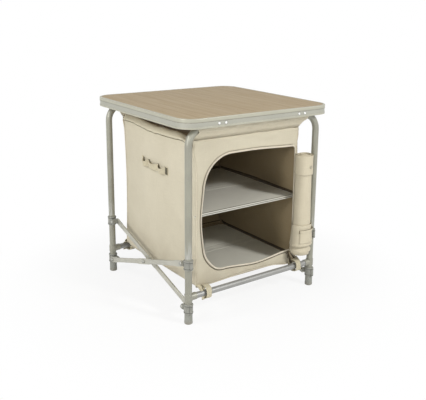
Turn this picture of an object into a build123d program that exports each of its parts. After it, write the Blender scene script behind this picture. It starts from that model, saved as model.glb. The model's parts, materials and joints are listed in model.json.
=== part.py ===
from build123d import *
from math import atan2, cos, degrees, hypot, radians, sin
import os

os.makedirs("parts", exist_ok=True)

# A square folding table on two bent tube frames, with a fabric cupboard hanging between them.
# Millimetres. X runs along the front, Y from the front to the rear, Z up. The floor is at Z 0.

# Overall sizes
top_size = 485.0
top_height = 540.0
top_overhang = 15.0
base_size = top_size - 2 * top_overhang

# Table board and its edging
edge_height = 25.0
edge_wall = 1.8
edge_lip = 6.0
edge_lip_thickness = 1.4
edge_band_height = 11.0
edge_band_depth = 0.8
edge_flange = 11.0
edge_flange_thickness = 1.3
corner_radius = 48.0
board_thickness = 8.0
board_gap = 0.3
board_drop = 0.4

# Bent tube frames
tube_radius = 9.25
tube_wall = 1.2
bend_radius = 45.0
top_tube_drop = 27.0
tube_top_z = top_height - top_tube_drop

# Feet
foot_height = 27.0
foot_radius = 10.9
foot_neck_radius = 10.3
foot_sole = 4.0
seat_gap = 0.1

# Collars on the legs
collar_radius = 12.5
collar_height = 26.0
collar_rim = 4.0
collar_waist = 0.8
ear_half = 8.0
ear_radius = 7.0
pivot_offset = 18.0
web_half = 3.0
lower_pivot_z = 42.0
upper_pivot_z = 162.0
slide_gap = 0.3
edge_break = 1.2

# Braces, tubes that are pressed flat where they are riveted
brace_width = 16.0
brace_flat = 3.5
oval_width = 14.0
oval_thickness = 8.0
brace_gap = 0.3
end_flat = 28.0
press_length = 16.0
middle_flat = 30.0
spacer_radius = 6.5

# Rivets
pin_radius = 3.0
pin_gap = 0.08
head_radius = 5.5
head_height = 3.4
head_bevel = 1.6
head_seat = 0.05

# Where the legs stand: the base is measured over the outer rivet heads
outer_stack = ear_half + brace_gap + brace_flat + brace_gap + head_height
leg_x = base_size / 2 - outer_stack
leg_y = leg_x
pivot_y = leg_y - pivot_offset
brace_run = 2 * pivot_y
brace_rise = upper_pivot_z - lower_pivot_z
brace_length = hypot(brace_run, brace_rise)
brace_angle = degrees(atan2(brace_rise, brace_run))
brace_shift = ear_half + brace_gap + brace_flat / 2

# Crossbars and the thin sleeves that carry them
crossbar_radius = 8.25
crossbar_wall = 1.0
crossbar_z = 72.0
socket_wall = 1.3
sleeve_ring_height = 20.0
socket_reach = 22.0
socket_depth = 12.0

# Fabric cupboard
leg_to_side = 37.0
leg_to_panel = 22.0
bag_width = 2 * (leg_x - leg_to_side)
bag_depth = 2 * (leg_y - leg_to_panel)
fabric = 1.6
seam_gap = 0.3
bag_rise = 10.0
bag_bottom_z = crossbar_z + bag_rise
sleeve_inset = 5.0
tube_sleeve_length = bag_width - 2 * sleeve_inset
seam_drop = 36.0
seam_z = tube_top_z - seam_drop
roof_side_drop = 12.0
roof_top_drop = 13.0
roof_side_z = seam_z - roof_side_drop
roof_top_z = tube_top_z - roof_top_drop
roof_slope = 25.0

# Opening in the front, its binding and its zip. It is round on the left and square on the right,
# where the door is sewn on.
opening_left_margin = 27.0
opening_right_margin = 17.0
opening_rise = 36.0
opening_drop = 47.0
opening_left = bag_width / 2 - opening_left_margin
opening_right = bag_width / 2 - opening_right_margin
opening_bottom_z = bag_bottom_z + opening_rise
opening_top_z = seam_z - opening_drop
opening_top_radius = 85.0
opening_bottom_radius = 60.0
opening_seam_radius = 12.0
binding_width = 6.0
binding_thickness = 1.7
zip_width = 3.0
zip_thickness = 1.0
zip_end_gap = 10.0
zip_end = opening_right - zip_end_gap

# Rolled door and its bands
roll_to_leg = 44.0
roll_x = leg_x - roll_to_leg
roll_sheet = 2.3
roll_step = 1.4
roll_start = 4.5
roll_pairs = 7
roll_flat = 8.0
roll_bottom_drop = 13.0
roll_bottom_z = opening_bottom_z - roll_bottom_drop
roll_top_drop = 24.0
roll_top_z = opening_top_z - roll_top_drop
band_thickness = 1.2
upper_band_drop = 37.0
upper_band_z = roll_top_z - upper_band_drop
upper_band_height = 52.0
lower_band_rise = 47.0
lower_band_z = roll_bottom_z + lower_band_rise
lower_band_height = 46.0

# Straps
strap_width = 20.0
strap_inset = 20.0
strap_x = bag_width / 2 - strap_inset
strap_tail = 14.0
handle_drop = 105.0
handle_z = seam_z - handle_drop
handle_height = 24.0
handle_y = 8.0
handle_half = 62.0
handle_bow = 10.0
handle_thickness = 2.0
patch_size = 28.0

# Shelf and floor, each of two boards that fold up
leaf_thickness = 6.0
leaf_hinge_gap = 4.0
leaf_hinge_y = bag_depth / 2 - leaf_hinge_gap
leaf_gap = 34.0
leaf_seat = 0.4
shelf_top_z = (bag_bottom_z + seam_z) / 2
floor_top_z = bag_bottom_z + fabric + leaf_seat + leaf_thickness
rail_height = 7.5
rail_wall = 1.5
rail_lip = 12.0
strip_thickness = 1.0

# Clips under the board
clip_inset = 39.0
clip_x = tube_sleeve_length / 2 - clip_inset
clip_width = 38.0
clip_wall = 1.7
clip_plate = 1.6
rivet_pitch = 20.0
edge_rivet_radius = 3.6
edge_rivet_pin = 1.8

# Each frame: its name and the side of the middle that it stands on
frames = (("front", -1), ("rear", 1))


def finish(piece, name):
    piece.part.label = name
    export_step(piece.part, f"parts/{name}.step")


# Edging: a wall round the board, a lip over its edge and a flange under it.
# The outer face has a shallow band, and the rivet heads lie in it.
edge_bottom_z = top_height - edge_height
board_top_z = top_height - edge_lip_thickness - board_gap
board_bottom_z = board_top_z - board_thickness
flange_top_z = board_bottom_z - board_gap
edge_middle_z = top_height - edge_height * 0.62
with BuildPart() as edge_trim:
    with BuildSketch(Plane.XY.offset(edge_bottom_z)):
        RectangleRounded(top_size, top_size, corner_radius)
        wall_size = top_size - 2 * edge_wall
        RectangleRounded(wall_size, wall_size, corner_radius - edge_wall, mode=Mode.SUBTRACT)
    extrude(amount=edge_height)
    with BuildSketch(Plane.XY.offset(top_height - edge_lip_thickness)):
        RectangleRounded(top_size - edge_wall, top_size - edge_wall, corner_radius - edge_wall / 2)
        lip_size = top_size - 2 * edge_lip
        RectangleRounded(lip_size, lip_size, corner_radius - edge_lip, mode=Mode.SUBTRACT)
    extrude(amount=edge_lip_thickness)
    with BuildSketch(Plane.XY.offset(flange_top_z - edge_flange_thickness)):
        RectangleRounded(top_size - edge_wall, top_size - edge_wall, corner_radius - edge_wall / 2)
        flange_size = top_size - 2 * edge_flange
        RectangleRounded(flange_size, flange_size, corner_radius - edge_flange, mode=Mode.SUBTRACT)
    extrude(amount=edge_flange_thickness)
    fillet(edge_trim.faces().sort_by(Axis.Z)[-1].outer_wire().edges(), edge_wall * 0.7)
    with BuildSketch(Plane.XY.offset(edge_middle_z - edge_band_height / 2)):
        RectangleRounded(top_size + 2, top_size + 2, corner_radius + 1)
        band_size = top_size - 2 * edge_band_depth
        RectangleRounded(band_size, band_size, corner_radius - edge_band_depth, mode=Mode.SUBTRACT)
    extrude(amount=edge_band_height, mode=Mode.SUBTRACT)
    rivet_spots = [
        (group * clip_x + half * rivet_pitch / 2, side * top_size / 2, edge_middle_z)
        for side in (-1, 1)
        for group in (-1, 1)
        for half in (-1, 1)
    ]
    with Locations(*rivet_spots):
        Cylinder(edge_rivet_pin + pin_gap, 4 * edge_wall, rotation=(90, 0, 0), mode=Mode.SUBTRACT)
finish(edge_trim, "table_edge_trim")

# Table board inside the edging. Its rim is rebated for the lip, and its face lies a little below the lip.
with BuildPart() as board:
    with BuildSketch(Plane.XY.offset(board_bottom_z)):
        board_size = top_size - 2 * (edge_wall + board_gap)
        RectangleRounded(board_size, board_size, corner_radius - edge_wall - board_gap)
    extrude(amount=board_thickness)
    with BuildSketch(Plane.XY.offset(board_top_z)):
        face_size = lip_size - 2 * board_gap
        RectangleRounded(face_size, face_size, corner_radius - edge_lip - board_gap)
    extrude(amount=top_height - board_drop - board_top_z)
finish(board, "table_board")

# Rivets through the edging: a low head in the band outside and a pin into the clip behind
rivet_pin_length = edge_wall + clip_plate
with BuildPart() as edge_rivet:
    with BuildSketch(Plane.XZ):
        Circle(edge_rivet_radius)
    extrude(amount=edge_band_depth)
    chamfer(edge_rivet.faces().sort_by(Axis.Y)[0].edges(), edge_band_depth * 0.6)
    with BuildSketch(Plane.XZ):
        Circle(edge_rivet_pin)
    extrude(amount=-rivet_pin_length)
with BuildPart() as edge_rivets:
    for group in (-1, 1):
        for half in (-1, 1):
            rivet_x = group * clip_x + half * rivet_pitch / 2
            rivet_y = top_size / 2 - edge_band_depth
            with Locations(Location((rivet_x, -rivet_y, edge_middle_z))):
                add(edge_rivet.part)
            with Locations(Location((rivet_x, rivet_y, edge_middle_z), (0, 0, 180))):
                add(edge_rivet.part)
finish(edge_rivets, "edge_rivets")

# Clips behind the edging. A front clip hooks over the sleeved tube, and a rear rest is open forward,
# so that the rear frame can slide out from under it.
sleeve_inner = tube_radius + seam_gap
sleeve_outer = sleeve_inner + fabric
clip_inner = sleeve_outer + seam_gap
clip_outer = clip_inner + clip_wall
plate_y = top_size / 2 - edge_wall
plate_top_z = flange_top_z - edge_flange_thickness - board_gap
hook_z = tube_top_z + clip_outer / 2
for side, sign in frames:
    clip_name = "front_clips" if side == "front" else "rear_rests"
    with BuildPart() as clips:
        for group in (-1, 1):
            with BuildSketch(Plane.YZ.offset(group * clip_x - clip_width / 2)):
                with Locations((sign * leg_y, tube_top_z)):
                    Circle(clip_outer)
                    Circle(clip_inner, mode=Mode.SUBTRACT)
                with Locations((sign * leg_y, tube_top_z - clip_outer)):
                    Rectangle(4 * clip_outer, 2 * clip_outer - 4, mode=Mode.SUBTRACT)
                inner_keep = 0 if side == "rear" else hook_z - tube_top_z
                with Locations((sign * (leg_y - clip_outer), tube_top_z)):
                    Rectangle(2 * clip_outer, 2 * inner_keep + 4, mode=Mode.SUBTRACT)
                if side == "rear":
                    with Locations((sign * (leg_y - clip_outer), tube_top_z)):
                        Rectangle(2 * clip_outer, 4 * clip_outer, mode=Mode.SUBTRACT)
                web_start = leg_y + clip_inner + clip_wall / 2
                with Locations((sign * (web_start + plate_y) / 2, tube_top_z + 3)):
                    Rectangle(plate_y - web_start, 2.4)
                plate_height = plate_top_z - edge_bottom_z
                with Locations((sign * (plate_y - clip_plate / 2), edge_bottom_z + plate_height / 2)):
                    Rectangle(clip_plate, plate_height)
            extrude(amount=clip_width)
        clip_holes = [
            (group * clip_x + half * rivet_pitch / 2, sign * plate_y, edge_middle_z)
            for group in (-1, 1)
            for half in (-1, 1)
        ]
        with Locations(*clip_holes):
            Cylinder(edge_rivet_pin + pin_gap, 4 * clip_plate, rotation=(90, 0, 0), mode=Mode.SUBTRACT)
    finish(clips, clip_name)

# Leg frames: one tube each, bent into an upside-down U
tube_start_z = foot_sole + seat_gap
for side, sign in frames:
    with BuildPart() as leg_frame:
        with BuildLine():
            FilletPolyline(
                (-leg_x, sign * leg_y, tube_start_z),
                (-leg_x, sign * leg_y, tube_top_z),
                (leg_x, sign * leg_y, tube_top_z),
                (leg_x, sign * leg_y, tube_start_z),
                radius=bend_radius,
            )
        with BuildSketch(Plane((-leg_x, sign * leg_y, tube_start_z))):
            Circle(tube_radius)
            Circle(tube_radius - tube_wall, mode=Mode.SUBTRACT)
        sweep()
    finish(leg_frame, f"{side}_leg_frame")

# Feet: caps on the ends of the legs
with BuildPart() as foot:
    with BuildSketch(Plane.XZ):
        with BuildLine():
            Polyline(
                (0, 0),
                (foot_radius - edge_break, 0),
                (foot_radius, edge_break),
                (foot_radius, foot_sole + 2),
                (foot_neck_radius, foot_height - edge_break),
                (foot_neck_radius - edge_break / 2, foot_height),
                (tube_radius + seat_gap, foot_height),
                (tube_radius + seat_gap, foot_sole),
                (0, foot_sole),
                close=True,
            )
        make_face()
    revolve(axis=Axis.Z)
for side, sign in frames:
    with BuildPart() as feet:
        with Locations((-leg_x, sign * leg_y, 0), (leg_x, sign * leg_y, 0)):
            add(foot.part)
    finish(feet, f"{side}_feet")

# Collars: a ring on the leg with an ear for the braces. The lower ones are fixed and the upper ones slide.
for kind, bore_gap, height in (("lower", seat_gap, lower_pivot_z), ("sliding", slide_gap, upper_pivot_z)):
    with BuildPart() as collar:
        with BuildSketch(Plane.XZ):
            with BuildLine():
                half_height = collar_height / 2
                Polyline(
                    (0, -half_height),
                    (collar_radius - edge_break, -half_height),
                    (collar_radius, edge_break - half_height),
                    (collar_radius, collar_rim - half_height),
                    (collar_radius - collar_waist, collar_rim + collar_waist - half_height),
                    (collar_radius - collar_waist, half_height - collar_rim - collar_waist),
                    (collar_radius, half_height - collar_rim),
                    (collar_radius, half_height - edge_break),
                    (collar_radius - edge_break, half_height),
                    (0, half_height),
                    close=True,
                )
            make_face()
        revolve(axis=Axis.Z)
        with BuildSketch(Plane.YZ):
            with Locations((pivot_offset / 2, 0)):
                SlotCenterToCenter(pivot_offset, 2 * ear_radius)
        extrude(amount=ear_half, both=True)
        web_reach = base_size / 2 - leg_y
        with Locations((0, -web_reach / 2, 0)):
            Box(2 * web_half, web_reach, collar_height - 2 * edge_break)
        Cylinder(tube_radius + bore_gap, 2 * collar_height, mode=Mode.SUBTRACT)
        with Locations((0, pivot_offset, 0)):
            Cylinder(pin_radius + pin_gap, 4 * ear_half, rotation=(0, 90, 0), mode=Mode.SUBTRACT)
    for side, sign in frames:
        turn = 0 if sign < 0 else 180
        with BuildPart() as collars:
            with Locations(
                Location((-leg_x, sign * leg_y, height), (0, 0, turn)),
                Location((leg_x, sign * leg_y, height), (0, 0, turn)),
            ):
                add(collar.part)
        finish(collars, f"{side}_{kind}_collars")

# Rivets through an ear and a brace. The braces from the front below to the rear above lie inside the ears.
grip = 2 * ear_half + head_seat + 2 * brace_gap + brace_flat
with BuildPart() as pivot_rivet:
    Cylinder(pin_radius, grip + head_height, rotation=(0, 90, 0))
    with Locations(((grip + head_height) / 2, 0, 0), (-(grip + head_height) / 2, 0, 0)):
        Cylinder(head_radius, head_height, rotation=(0, 90, 0))
    end_faces = pivot_rivet.faces().sort_by(Axis.X)
    chamfer(end_faces[0].edges() + end_faces[-1].edges(), head_bevel)
rivet_shift = (2 * brace_gap + brace_flat - head_seat) / 2
for side, sign in frames:
    for kind, height in (("lower", lower_pivot_z), ("slider", upper_pivot_z)):
        inside = (side == "front") == (kind == "lower")
        rivet_x = leg_x - rivet_shift if inside else leg_x + rivet_shift
        with BuildPart() as pivot_rivets:
            with Locations((-rivet_x, sign * pivot_y, height), (rivet_x, sign * pivot_y, height)):
                add(pivot_rivet.part)
        finish(pivot_rivets, f"{side}_{kind}_rivets")

# One brace, drawn along its length: flat ends, a flat middle and an oval tube between them
half_length = brace_length / 2
with BuildPart() as brace:
    with BuildSketch():
        with Locations((0, 0), (brace_length, 0)):
            Circle(brace_width / 2)
        with Locations((end_flat / 2, 0), (brace_length - end_flat / 2, 0)):
            Rectangle(end_flat, brace_width)
        with Locations((half_length, 0)):
            Rectangle(2 * middle_flat, brace_width)
    extrude(amount=brace_flat / 2, both=True)
    first_half = (
        end_flat,
        end_flat + press_length,
        half_length - middle_flat - press_length,
        half_length - middle_flat,
    )
    second_half = [brace_length - place for place in reversed(first_half)]
    widths = (brace_width, oval_width, oval_width, brace_width)
    depths = (brace_flat, oval_thickness, oval_thickness, brace_flat)
    for places in (first_half, second_half):
        for place, wide, deep in zip(places, widths, depths):
            with BuildSketch(Plane(origin=(place, 0, 0), x_dir=(0, 1, 0), z_dir=(1, 0, 0))):
                SlotOverall(wide, deep)
        loft(ruled=True)
    with Locations((0, 0, 0), (half_length, 0, 0), (brace_length, 0, 0)):
        Cylinder(pin_radius + pin_gap, 4 * brace_flat, mode=Mode.SUBTRACT)
run = cos(radians(brace_angle))
rise = sin(radians(brace_angle))
for hand, across in (("left", -1), ("right", 1)):
    with BuildPart() as inner_brace:
        inner_x = across * (leg_x - brace_shift)
        inner_start = (inner_x, -pivot_y, lower_pivot_z)
        with Locations(Plane(origin=inner_start, x_dir=(0, run, rise), z_dir=(1, 0, 0))):
            add(brace.part)
    finish(inner_brace, f"{hand}_inner_brace")
    with BuildPart() as outer_brace:
        outer_x = across * (leg_x + brace_shift)
        outer_start = (outer_x, -pivot_y, upper_pivot_z)
        with Locations(Plane(origin=outer_start, x_dir=(0, run, -rise), z_dir=(1, 0, 0))):
            add(brace.part)
    finish(outer_brace, f"{hand}_outer_brace")

# Where the braces cross: a spacer between them and a rivet through all three
cross_z = (lower_pivot_z + upper_pivot_z) / 2
with BuildPart() as spacers:
    with Locations((-leg_x, 0, cross_z), (leg_x, 0, cross_z)):
        Cylinder(spacer_radius, 2 * ear_half, rotation=(0, 90, 0))
        Cylinder(pin_radius + pin_gap, 4 * ear_half, rotation=(0, 90, 0), mode=Mode.SUBTRACT)
finish(spacers, "crossing_spacers")
cross_grip = 2 * (ear_half + 2 * brace_gap + brace_flat)
with BuildPart() as cross_rivet:
    Cylinder(pin_radius, cross_grip + head_height, rotation=(0, 90, 0))
    with Locations(((cross_grip + head_height) / 2, 0, 0), (-(cross_grip + head_height) / 2, 0, 0)):
        Cylinder(head_radius, head_height, rotation=(0, 90, 0))
    end_faces = cross_rivet.faces().sort_by(Axis.X)
    chamfer(end_faces[0].edges() + end_faces[-1].edges(), head_bevel)
with BuildPart() as cross_rivets:
    with Locations((-leg_x, 0, cross_z), (leg_x, 0, cross_z)):
        add(cross_rivet.part)
finish(cross_rivets, "crossing_rivets")

# Crossbars and their sleeves: a ring on the leg with a socket that points to the other leg
bar_half = leg_x - socket_reach + socket_depth
with BuildPart() as bar_sleeve:
    Cylinder(tube_radius + seat_gap + socket_wall, sleeve_ring_height)
    chamfer(bar_sleeve.edges().filter_by(GeomType.CIRCLE), edge_break / 2)
    with BuildSketch(Plane.YZ):
        Circle(crossbar_radius + seat_gap + socket_wall)
    extrude(amount=socket_reach)
    Cylinder(tube_radius + seat_gap, 2 * sleeve_ring_height, mode=Mode.SUBTRACT)
    with BuildSketch(Plane.YZ.offset(socket_reach - socket_depth - seat_gap)):
        Circle(crossbar_radius + seat_gap)
    extrude(amount=2 * socket_depth, mode=Mode.SUBTRACT)
for side, sign in frames:
    with BuildPart() as bar_sleeves:
        with Locations(
            Location((-leg_x, sign * leg_y, crossbar_z)),
            Location((leg_x, sign * leg_y, crossbar_z), (0, 0, 180)),
        ):
            add(bar_sleeve.part)
    finish(bar_sleeves, f"{side}_crossbar_sleeves")
    with BuildPart() as crossbar:
        with Locations((0, sign * leg_y, crossbar_z)):
            Cylinder(crossbar_radius, 2 * bar_half, rotation=(0, 90, 0))
            Cylinder(crossbar_radius - crossbar_wall, 3 * bar_half, rotation=(0, 90, 0), mode=Mode.SUBTRACT)
    finish(crossbar, f"{side}_crossbar")

# Outline of the front opening, drawn flat: X across and Y up
with BuildSketch() as opening_shape:
    opening_middle_x = (opening_right - opening_left) / 2
    with Locations((opening_middle_x, (opening_bottom_z + opening_top_z) / 2)):
        Rectangle(opening_left + opening_right, opening_top_z - opening_bottom_z)
    fillet(opening_shape.vertices().sort_by(Axis.X)[-2:], opening_seam_radius)
    fillet(opening_shape.vertices().group_by(Axis.X)[0].sort_by(Axis.Y)[0], opening_bottom_radius)
    fillet(opening_shape.vertices().group_by(Axis.X)[0].sort_by(Axis.Y)[-1], opening_top_radius)

# Front and rear fabric panels. Each hangs from a sleeve round the top tube, sewn closed at the seam.
for side, sign in frames:
    panel_y = sign * (bag_depth / 2 - fabric / 2)
    with BuildPart() as panel:
        with BuildSketch(Plane.YZ.offset(-tube_sleeve_length / 2)):
            with BuildLine():
                CenterArc((sign * leg_y, tube_top_z), sleeve_outer, 0, 360)
                CenterArc((panel_y, seam_z), fabric / 2, 0, 360)
            make_hull()
        extrude(amount=tube_sleeve_length)
        with BuildSketch(Plane.YZ.offset(-tube_sleeve_length / 2)):
            with BuildLine():
                CenterArc((sign * leg_y, tube_top_z), sleeve_inner, 0, 360)
                CenterArc((panel_y + sign * 4, seam_z + 6.5), 0.4, 0, 360)
            make_hull()
        extrude(amount=tube_sleeve_length, mode=Mode.SUBTRACT)
        with BuildSketch(Plane.XZ.offset(-sign * bag_depth / 2)):
            with Locations((0, (bag_bottom_z + seam_z) / 2)):
                Rectangle(bag_width, seam_z - bag_bottom_z)
            if side == "front":
                add(opening_shape.sketch, mode=Mode.SUBTRACT)
        extrude(amount=sign * fabric)
    finish(panel, f"bag_{side}_panel")

# Binding round the opening, and the zip outside it, which ends where the rolled door is sewn on
front_face = Plane.XZ.offset(bag_depth / 2)
with BuildPart() as binding:
    with BuildSketch(front_face.offset(seam_gap)):
        offset(opening_shape.sketch, amount=binding_width, mode=Mode.ADD)
        add(opening_shape.sketch, mode=Mode.SUBTRACT)
    extrude(amount=binding_thickness)
finish(binding, "opening_binding")
with BuildPart() as door_zip:
    with BuildSketch(front_face.offset(seam_gap)):
        offset(opening_shape.sketch, amount=binding_width + seam_gap + zip_width, mode=Mode.ADD)
        offset(opening_shape.sketch, amount=binding_width + seam_gap, mode=Mode.SUBTRACT)
        with Locations((zip_end + bag_width / 2, seam_z / 2)):
            Rectangle(bag_width, 2 * seam_z, mode=Mode.SUBTRACT)
    extrude(amount=zip_thickness)
finish(door_zip, "door_zip")

# Rolled-up door: a sheet in half turns that grow outward, with a flap that is sewn beside the opening.
# Even half turns are on the left and odd ones a step further back on the right, with flats between them.
last_turn = 2 * roll_pairs - 1
last_radius = roll_start + last_turn * roll_step
flap_y = -(bag_depth / 2 + binding_thickness + 2 * seam_gap + roll_sheet / 2)
roll_y = flap_y - last_radius - roll_step
flap_end_x = opening_right + 2
roll_left_x = roll_x - roll_flat / 2
roll_right_x = roll_x + roll_flat / 2
with BuildPart() as door_roll:
    with BuildSketch(Plane.XY.offset(roll_bottom_z)):
        with BuildLine():
            for pair in range(roll_pairs):
                pair_radius = roll_start + 2 * pair * roll_step
                next_radius = pair_radius + roll_step
                front_y = roll_y - pair_radius
                back_y = roll_y + roll_step + next_radius
                flat_end_x = flap_end_x if pair == roll_pairs - 1 else roll_left_x
                CenterArc((roll_left_x, roll_y), pair_radius, 90, 180)
                Line((roll_left_x, front_y), (roll_right_x, front_y))
                CenterArc((roll_right_x, roll_y + roll_step), next_radius, 270, 180)
                Line((roll_right_x, back_y), (flat_end_x, back_y))
        trace(line_width=roll_sheet)
    extrude(amount=roll_top_z - roll_bottom_z)
finish(door_roll, "door_roll")

# Bands round the roll. Each is open behind, where the flap leaves the roll.
band_shift = roll_sheet / 2 + seam_gap + band_thickness / 2
with BuildPart() as bands:
    for band_z, band_height in ((upper_band_z, upper_band_height), (lower_band_z, lower_band_height)):
        with BuildSketch(Plane.XY.offset(band_z - band_height / 2)):
            with BuildLine():
                band_front_y = roll_y - last_radius + roll_step - band_shift
                CenterArc((roll_left_x, roll_y), last_radius - roll_step + band_shift, 120, 150)
                Line((roll_left_x, band_front_y), (roll_right_x, band_front_y))
                CenterArc((roll_right_x, roll_y + roll_step), last_radius + band_shift, 270, 170)
            trace(line_width=band_thickness)
        extrude(amount=band_height)
finish(bands, "door_bands")

# Fabric side panels, roof and bottom
side_inner = bag_width / 2 - fabric
side_length = bag_depth - 2 * (fabric + seam_gap)
for hand, across in (("left", -1), ("right", 1)):
    with BuildPart() as side_panel:
        side_bottom = bag_bottom_z + fabric + seam_gap
        side_top = roof_side_z - fabric / 2
        with Locations((across * (bag_width - fabric) / 2, 0, (side_bottom + side_top) / 2)):
            Box(fabric, side_length, side_top - side_bottom)
    finish(side_panel, f"bag_{hand}_panel")
with BuildPart() as roof:
    with BuildSketch(Plane.XZ.offset(-side_length / 2)):
        with BuildLine():
            roof_half = (bag_width - fabric) / 2
            Polyline(
                (-roof_half, roof_side_z + fabric / 2),
                (-roof_half + roof_slope, roof_top_z),
                (roof_half - roof_slope, roof_top_z),
                (roof_half, roof_side_z + fabric / 2),
            )
        trace(line_width=fabric)
    extrude(amount=side_length)
finish(roof, "bag_roof")
with BuildPart() as bag_bottom:
    with Locations((0, 0, bag_bottom_z + fabric / 2)):
        Box(bag_width, side_length, fabric)
finish(bag_bottom, "bag_bottom")

# Strap loops: webbing from the bottom corners of the bag round the crossbars
loop_inner = crossbar_radius + seam_gap
for side, sign in frames:
    tail_y = sign * (bag_depth / 2 + seam_gap + fabric / 2)
    with BuildPart() as loops:
        for across in (-1, 1):
            loop_plane = Plane.YZ.offset(across * strap_x - strap_width / 2)
            with BuildSketch(loop_plane):
                with BuildLine():
                    CenterArc((sign * leg_y, crossbar_z), loop_inner + fabric, 0, 360)
                    CenterArc((tail_y, bag_bottom_z), fabric / 2, 0, 360)
                make_hull()
                with Locations((tail_y, bag_bottom_z + strap_tail / 2)):
                    Rectangle(fabric, strap_tail)
            extrude(amount=strap_width)
            with BuildSketch(loop_plane):
                with BuildLine():
                    CenterArc((sign * leg_y, crossbar_z), loop_inner, 0, 360)
                    CenterArc((tail_y + sign * 5, bag_bottom_z - 2), 0.3, 0, 360)
                make_hull()
            extrude(amount=strap_width, mode=Mode.SUBTRACT)
    finish(loops, f"{side}_strap_loops")

# Webbing handles on the side panels: a bowed strap between two sewn patches
for hand, across in (("left", -1), ("right", 1)):
    patch_x = across * (bag_width / 2 + seam_gap + handle_thickness / 2)
    with BuildPart() as handle:
        with Locations((patch_x, handle_y - handle_half, handle_z), (patch_x, handle_y + handle_half, handle_z)):
            Box(handle_thickness, patch_size, patch_size)
        with BuildSketch(Plane.XY.offset(handle_z - handle_height / 2)):
            with BuildLine():
                ThreePointArc(
                    (patch_x, handle_y - handle_half),
                    (patch_x + across * handle_bow, handle_y),
                    (patch_x, handle_y + handle_half),
                )
            trace(line_width=handle_thickness)
        extrude(amount=handle_height)
    finish(handle, f"{hand}_handle")

# Shelf and floor boards. Each front board turns up about its front edge, each rear one about its rear edge.
leaf_half_width = side_inner - seam_gap
leaf_inner_y = leaf_gap / 2
for level, leaf_top in (("shelf", shelf_top_z), ("floor", floor_top_z)):
    for side, sign in frames:
        front_cut = rail_wall + seam_gap if (level, side) == ("shelf", "front") else 0
        leaf_length = leaf_hinge_y - front_cut - leaf_inner_y
        with BuildPart() as leaf:
            with Locations((0, sign * (leaf_inner_y + leaf_length / 2), leaf_top - leaf_thickness / 2)):
                Box(2 * leaf_half_width, leaf_length, leaf_thickness)
        finish(leaf, f"{level}_{side}_leaf")
    with BuildPart() as hinge_strip:
        with Locations((0, 0, leaf_top - leaf_thickness / 2)):
            Box(2 * leaf_half_width, leaf_gap - 2 * seam_gap, strip_thickness)
    finish(hinge_strip, f"{level}_hinge_strip")

# Rail along the front edge of the shelf: an angle that the board rests in
with BuildPart() as shelf_rail:
    with Locations((0, -leaf_hinge_y + rail_wall / 2, shelf_top_z - rail_height / 2)):
        Box(2 * leaf_half_width, rail_wall, rail_height)
    lip_thickness = rail_height - leaf_thickness - seam_gap
    with Locations((0, -leaf_hinge_y + rail_lip / 2, shelf_top_z - rail_height + lip_thickness / 2)):
        Box(2 * leaf_half_width, rail_lip, lip_thickness)
finish(shelf_rail, "shelf_rail")
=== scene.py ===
# %% [markdown]
# # A folding camping table with a fabric cupboard
# The rigid pieces (tubes, collars, braces, table top) come from the CAD frame, in metres and in place.
# This lesson dresses them: it sews the fabric cupboard round the frame, rolls up its door, covers the
# boards, and gives every piece a finish. Nothing here changes the size of the object.

# %% Load the frame
import json
import math

import bmesh
import bpy
from mathutils import Matrix, Vector, noise


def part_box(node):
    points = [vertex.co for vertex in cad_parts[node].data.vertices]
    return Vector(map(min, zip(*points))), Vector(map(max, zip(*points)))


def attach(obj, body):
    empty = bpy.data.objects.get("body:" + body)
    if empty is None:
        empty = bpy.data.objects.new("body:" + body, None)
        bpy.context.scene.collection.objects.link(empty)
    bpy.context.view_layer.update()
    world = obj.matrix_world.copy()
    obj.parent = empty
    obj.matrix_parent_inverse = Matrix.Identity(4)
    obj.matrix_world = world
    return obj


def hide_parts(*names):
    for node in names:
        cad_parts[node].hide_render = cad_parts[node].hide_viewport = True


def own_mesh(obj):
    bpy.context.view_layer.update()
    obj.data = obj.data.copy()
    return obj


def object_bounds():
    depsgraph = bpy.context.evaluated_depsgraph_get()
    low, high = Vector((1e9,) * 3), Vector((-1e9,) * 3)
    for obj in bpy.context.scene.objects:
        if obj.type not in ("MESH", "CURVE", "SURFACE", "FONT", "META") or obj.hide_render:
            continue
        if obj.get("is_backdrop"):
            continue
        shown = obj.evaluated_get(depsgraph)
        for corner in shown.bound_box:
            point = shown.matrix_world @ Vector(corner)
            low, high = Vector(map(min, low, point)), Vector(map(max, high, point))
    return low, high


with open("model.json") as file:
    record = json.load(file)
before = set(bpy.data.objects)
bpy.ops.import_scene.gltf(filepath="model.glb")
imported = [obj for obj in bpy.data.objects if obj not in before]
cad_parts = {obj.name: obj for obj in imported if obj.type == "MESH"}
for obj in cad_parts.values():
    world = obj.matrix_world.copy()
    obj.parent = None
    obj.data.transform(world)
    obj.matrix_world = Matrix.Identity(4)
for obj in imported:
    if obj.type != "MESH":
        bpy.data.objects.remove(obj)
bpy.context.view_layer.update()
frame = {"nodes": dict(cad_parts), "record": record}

# %% [markdown]
# ## Working in millimetres
# A pattern cutter thinks in millimetres, and so do the CAD drawings of this table. Every new mesh is
# modelled in millimetres and scaled to metres once, when it becomes an object. The object itself stays
# at the origin, unturned and unscaled, exactly as the CAD nodes do. Cloth gets its thickness last, by a
# modifier, as a rule on the side away from its face.

# %% From a bmesh to a piece on the object
MM = 0.001
FRONT, REAR = "front_frame", "rear_frame"


def box_mm(node):
    return [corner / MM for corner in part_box(node)]


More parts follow.
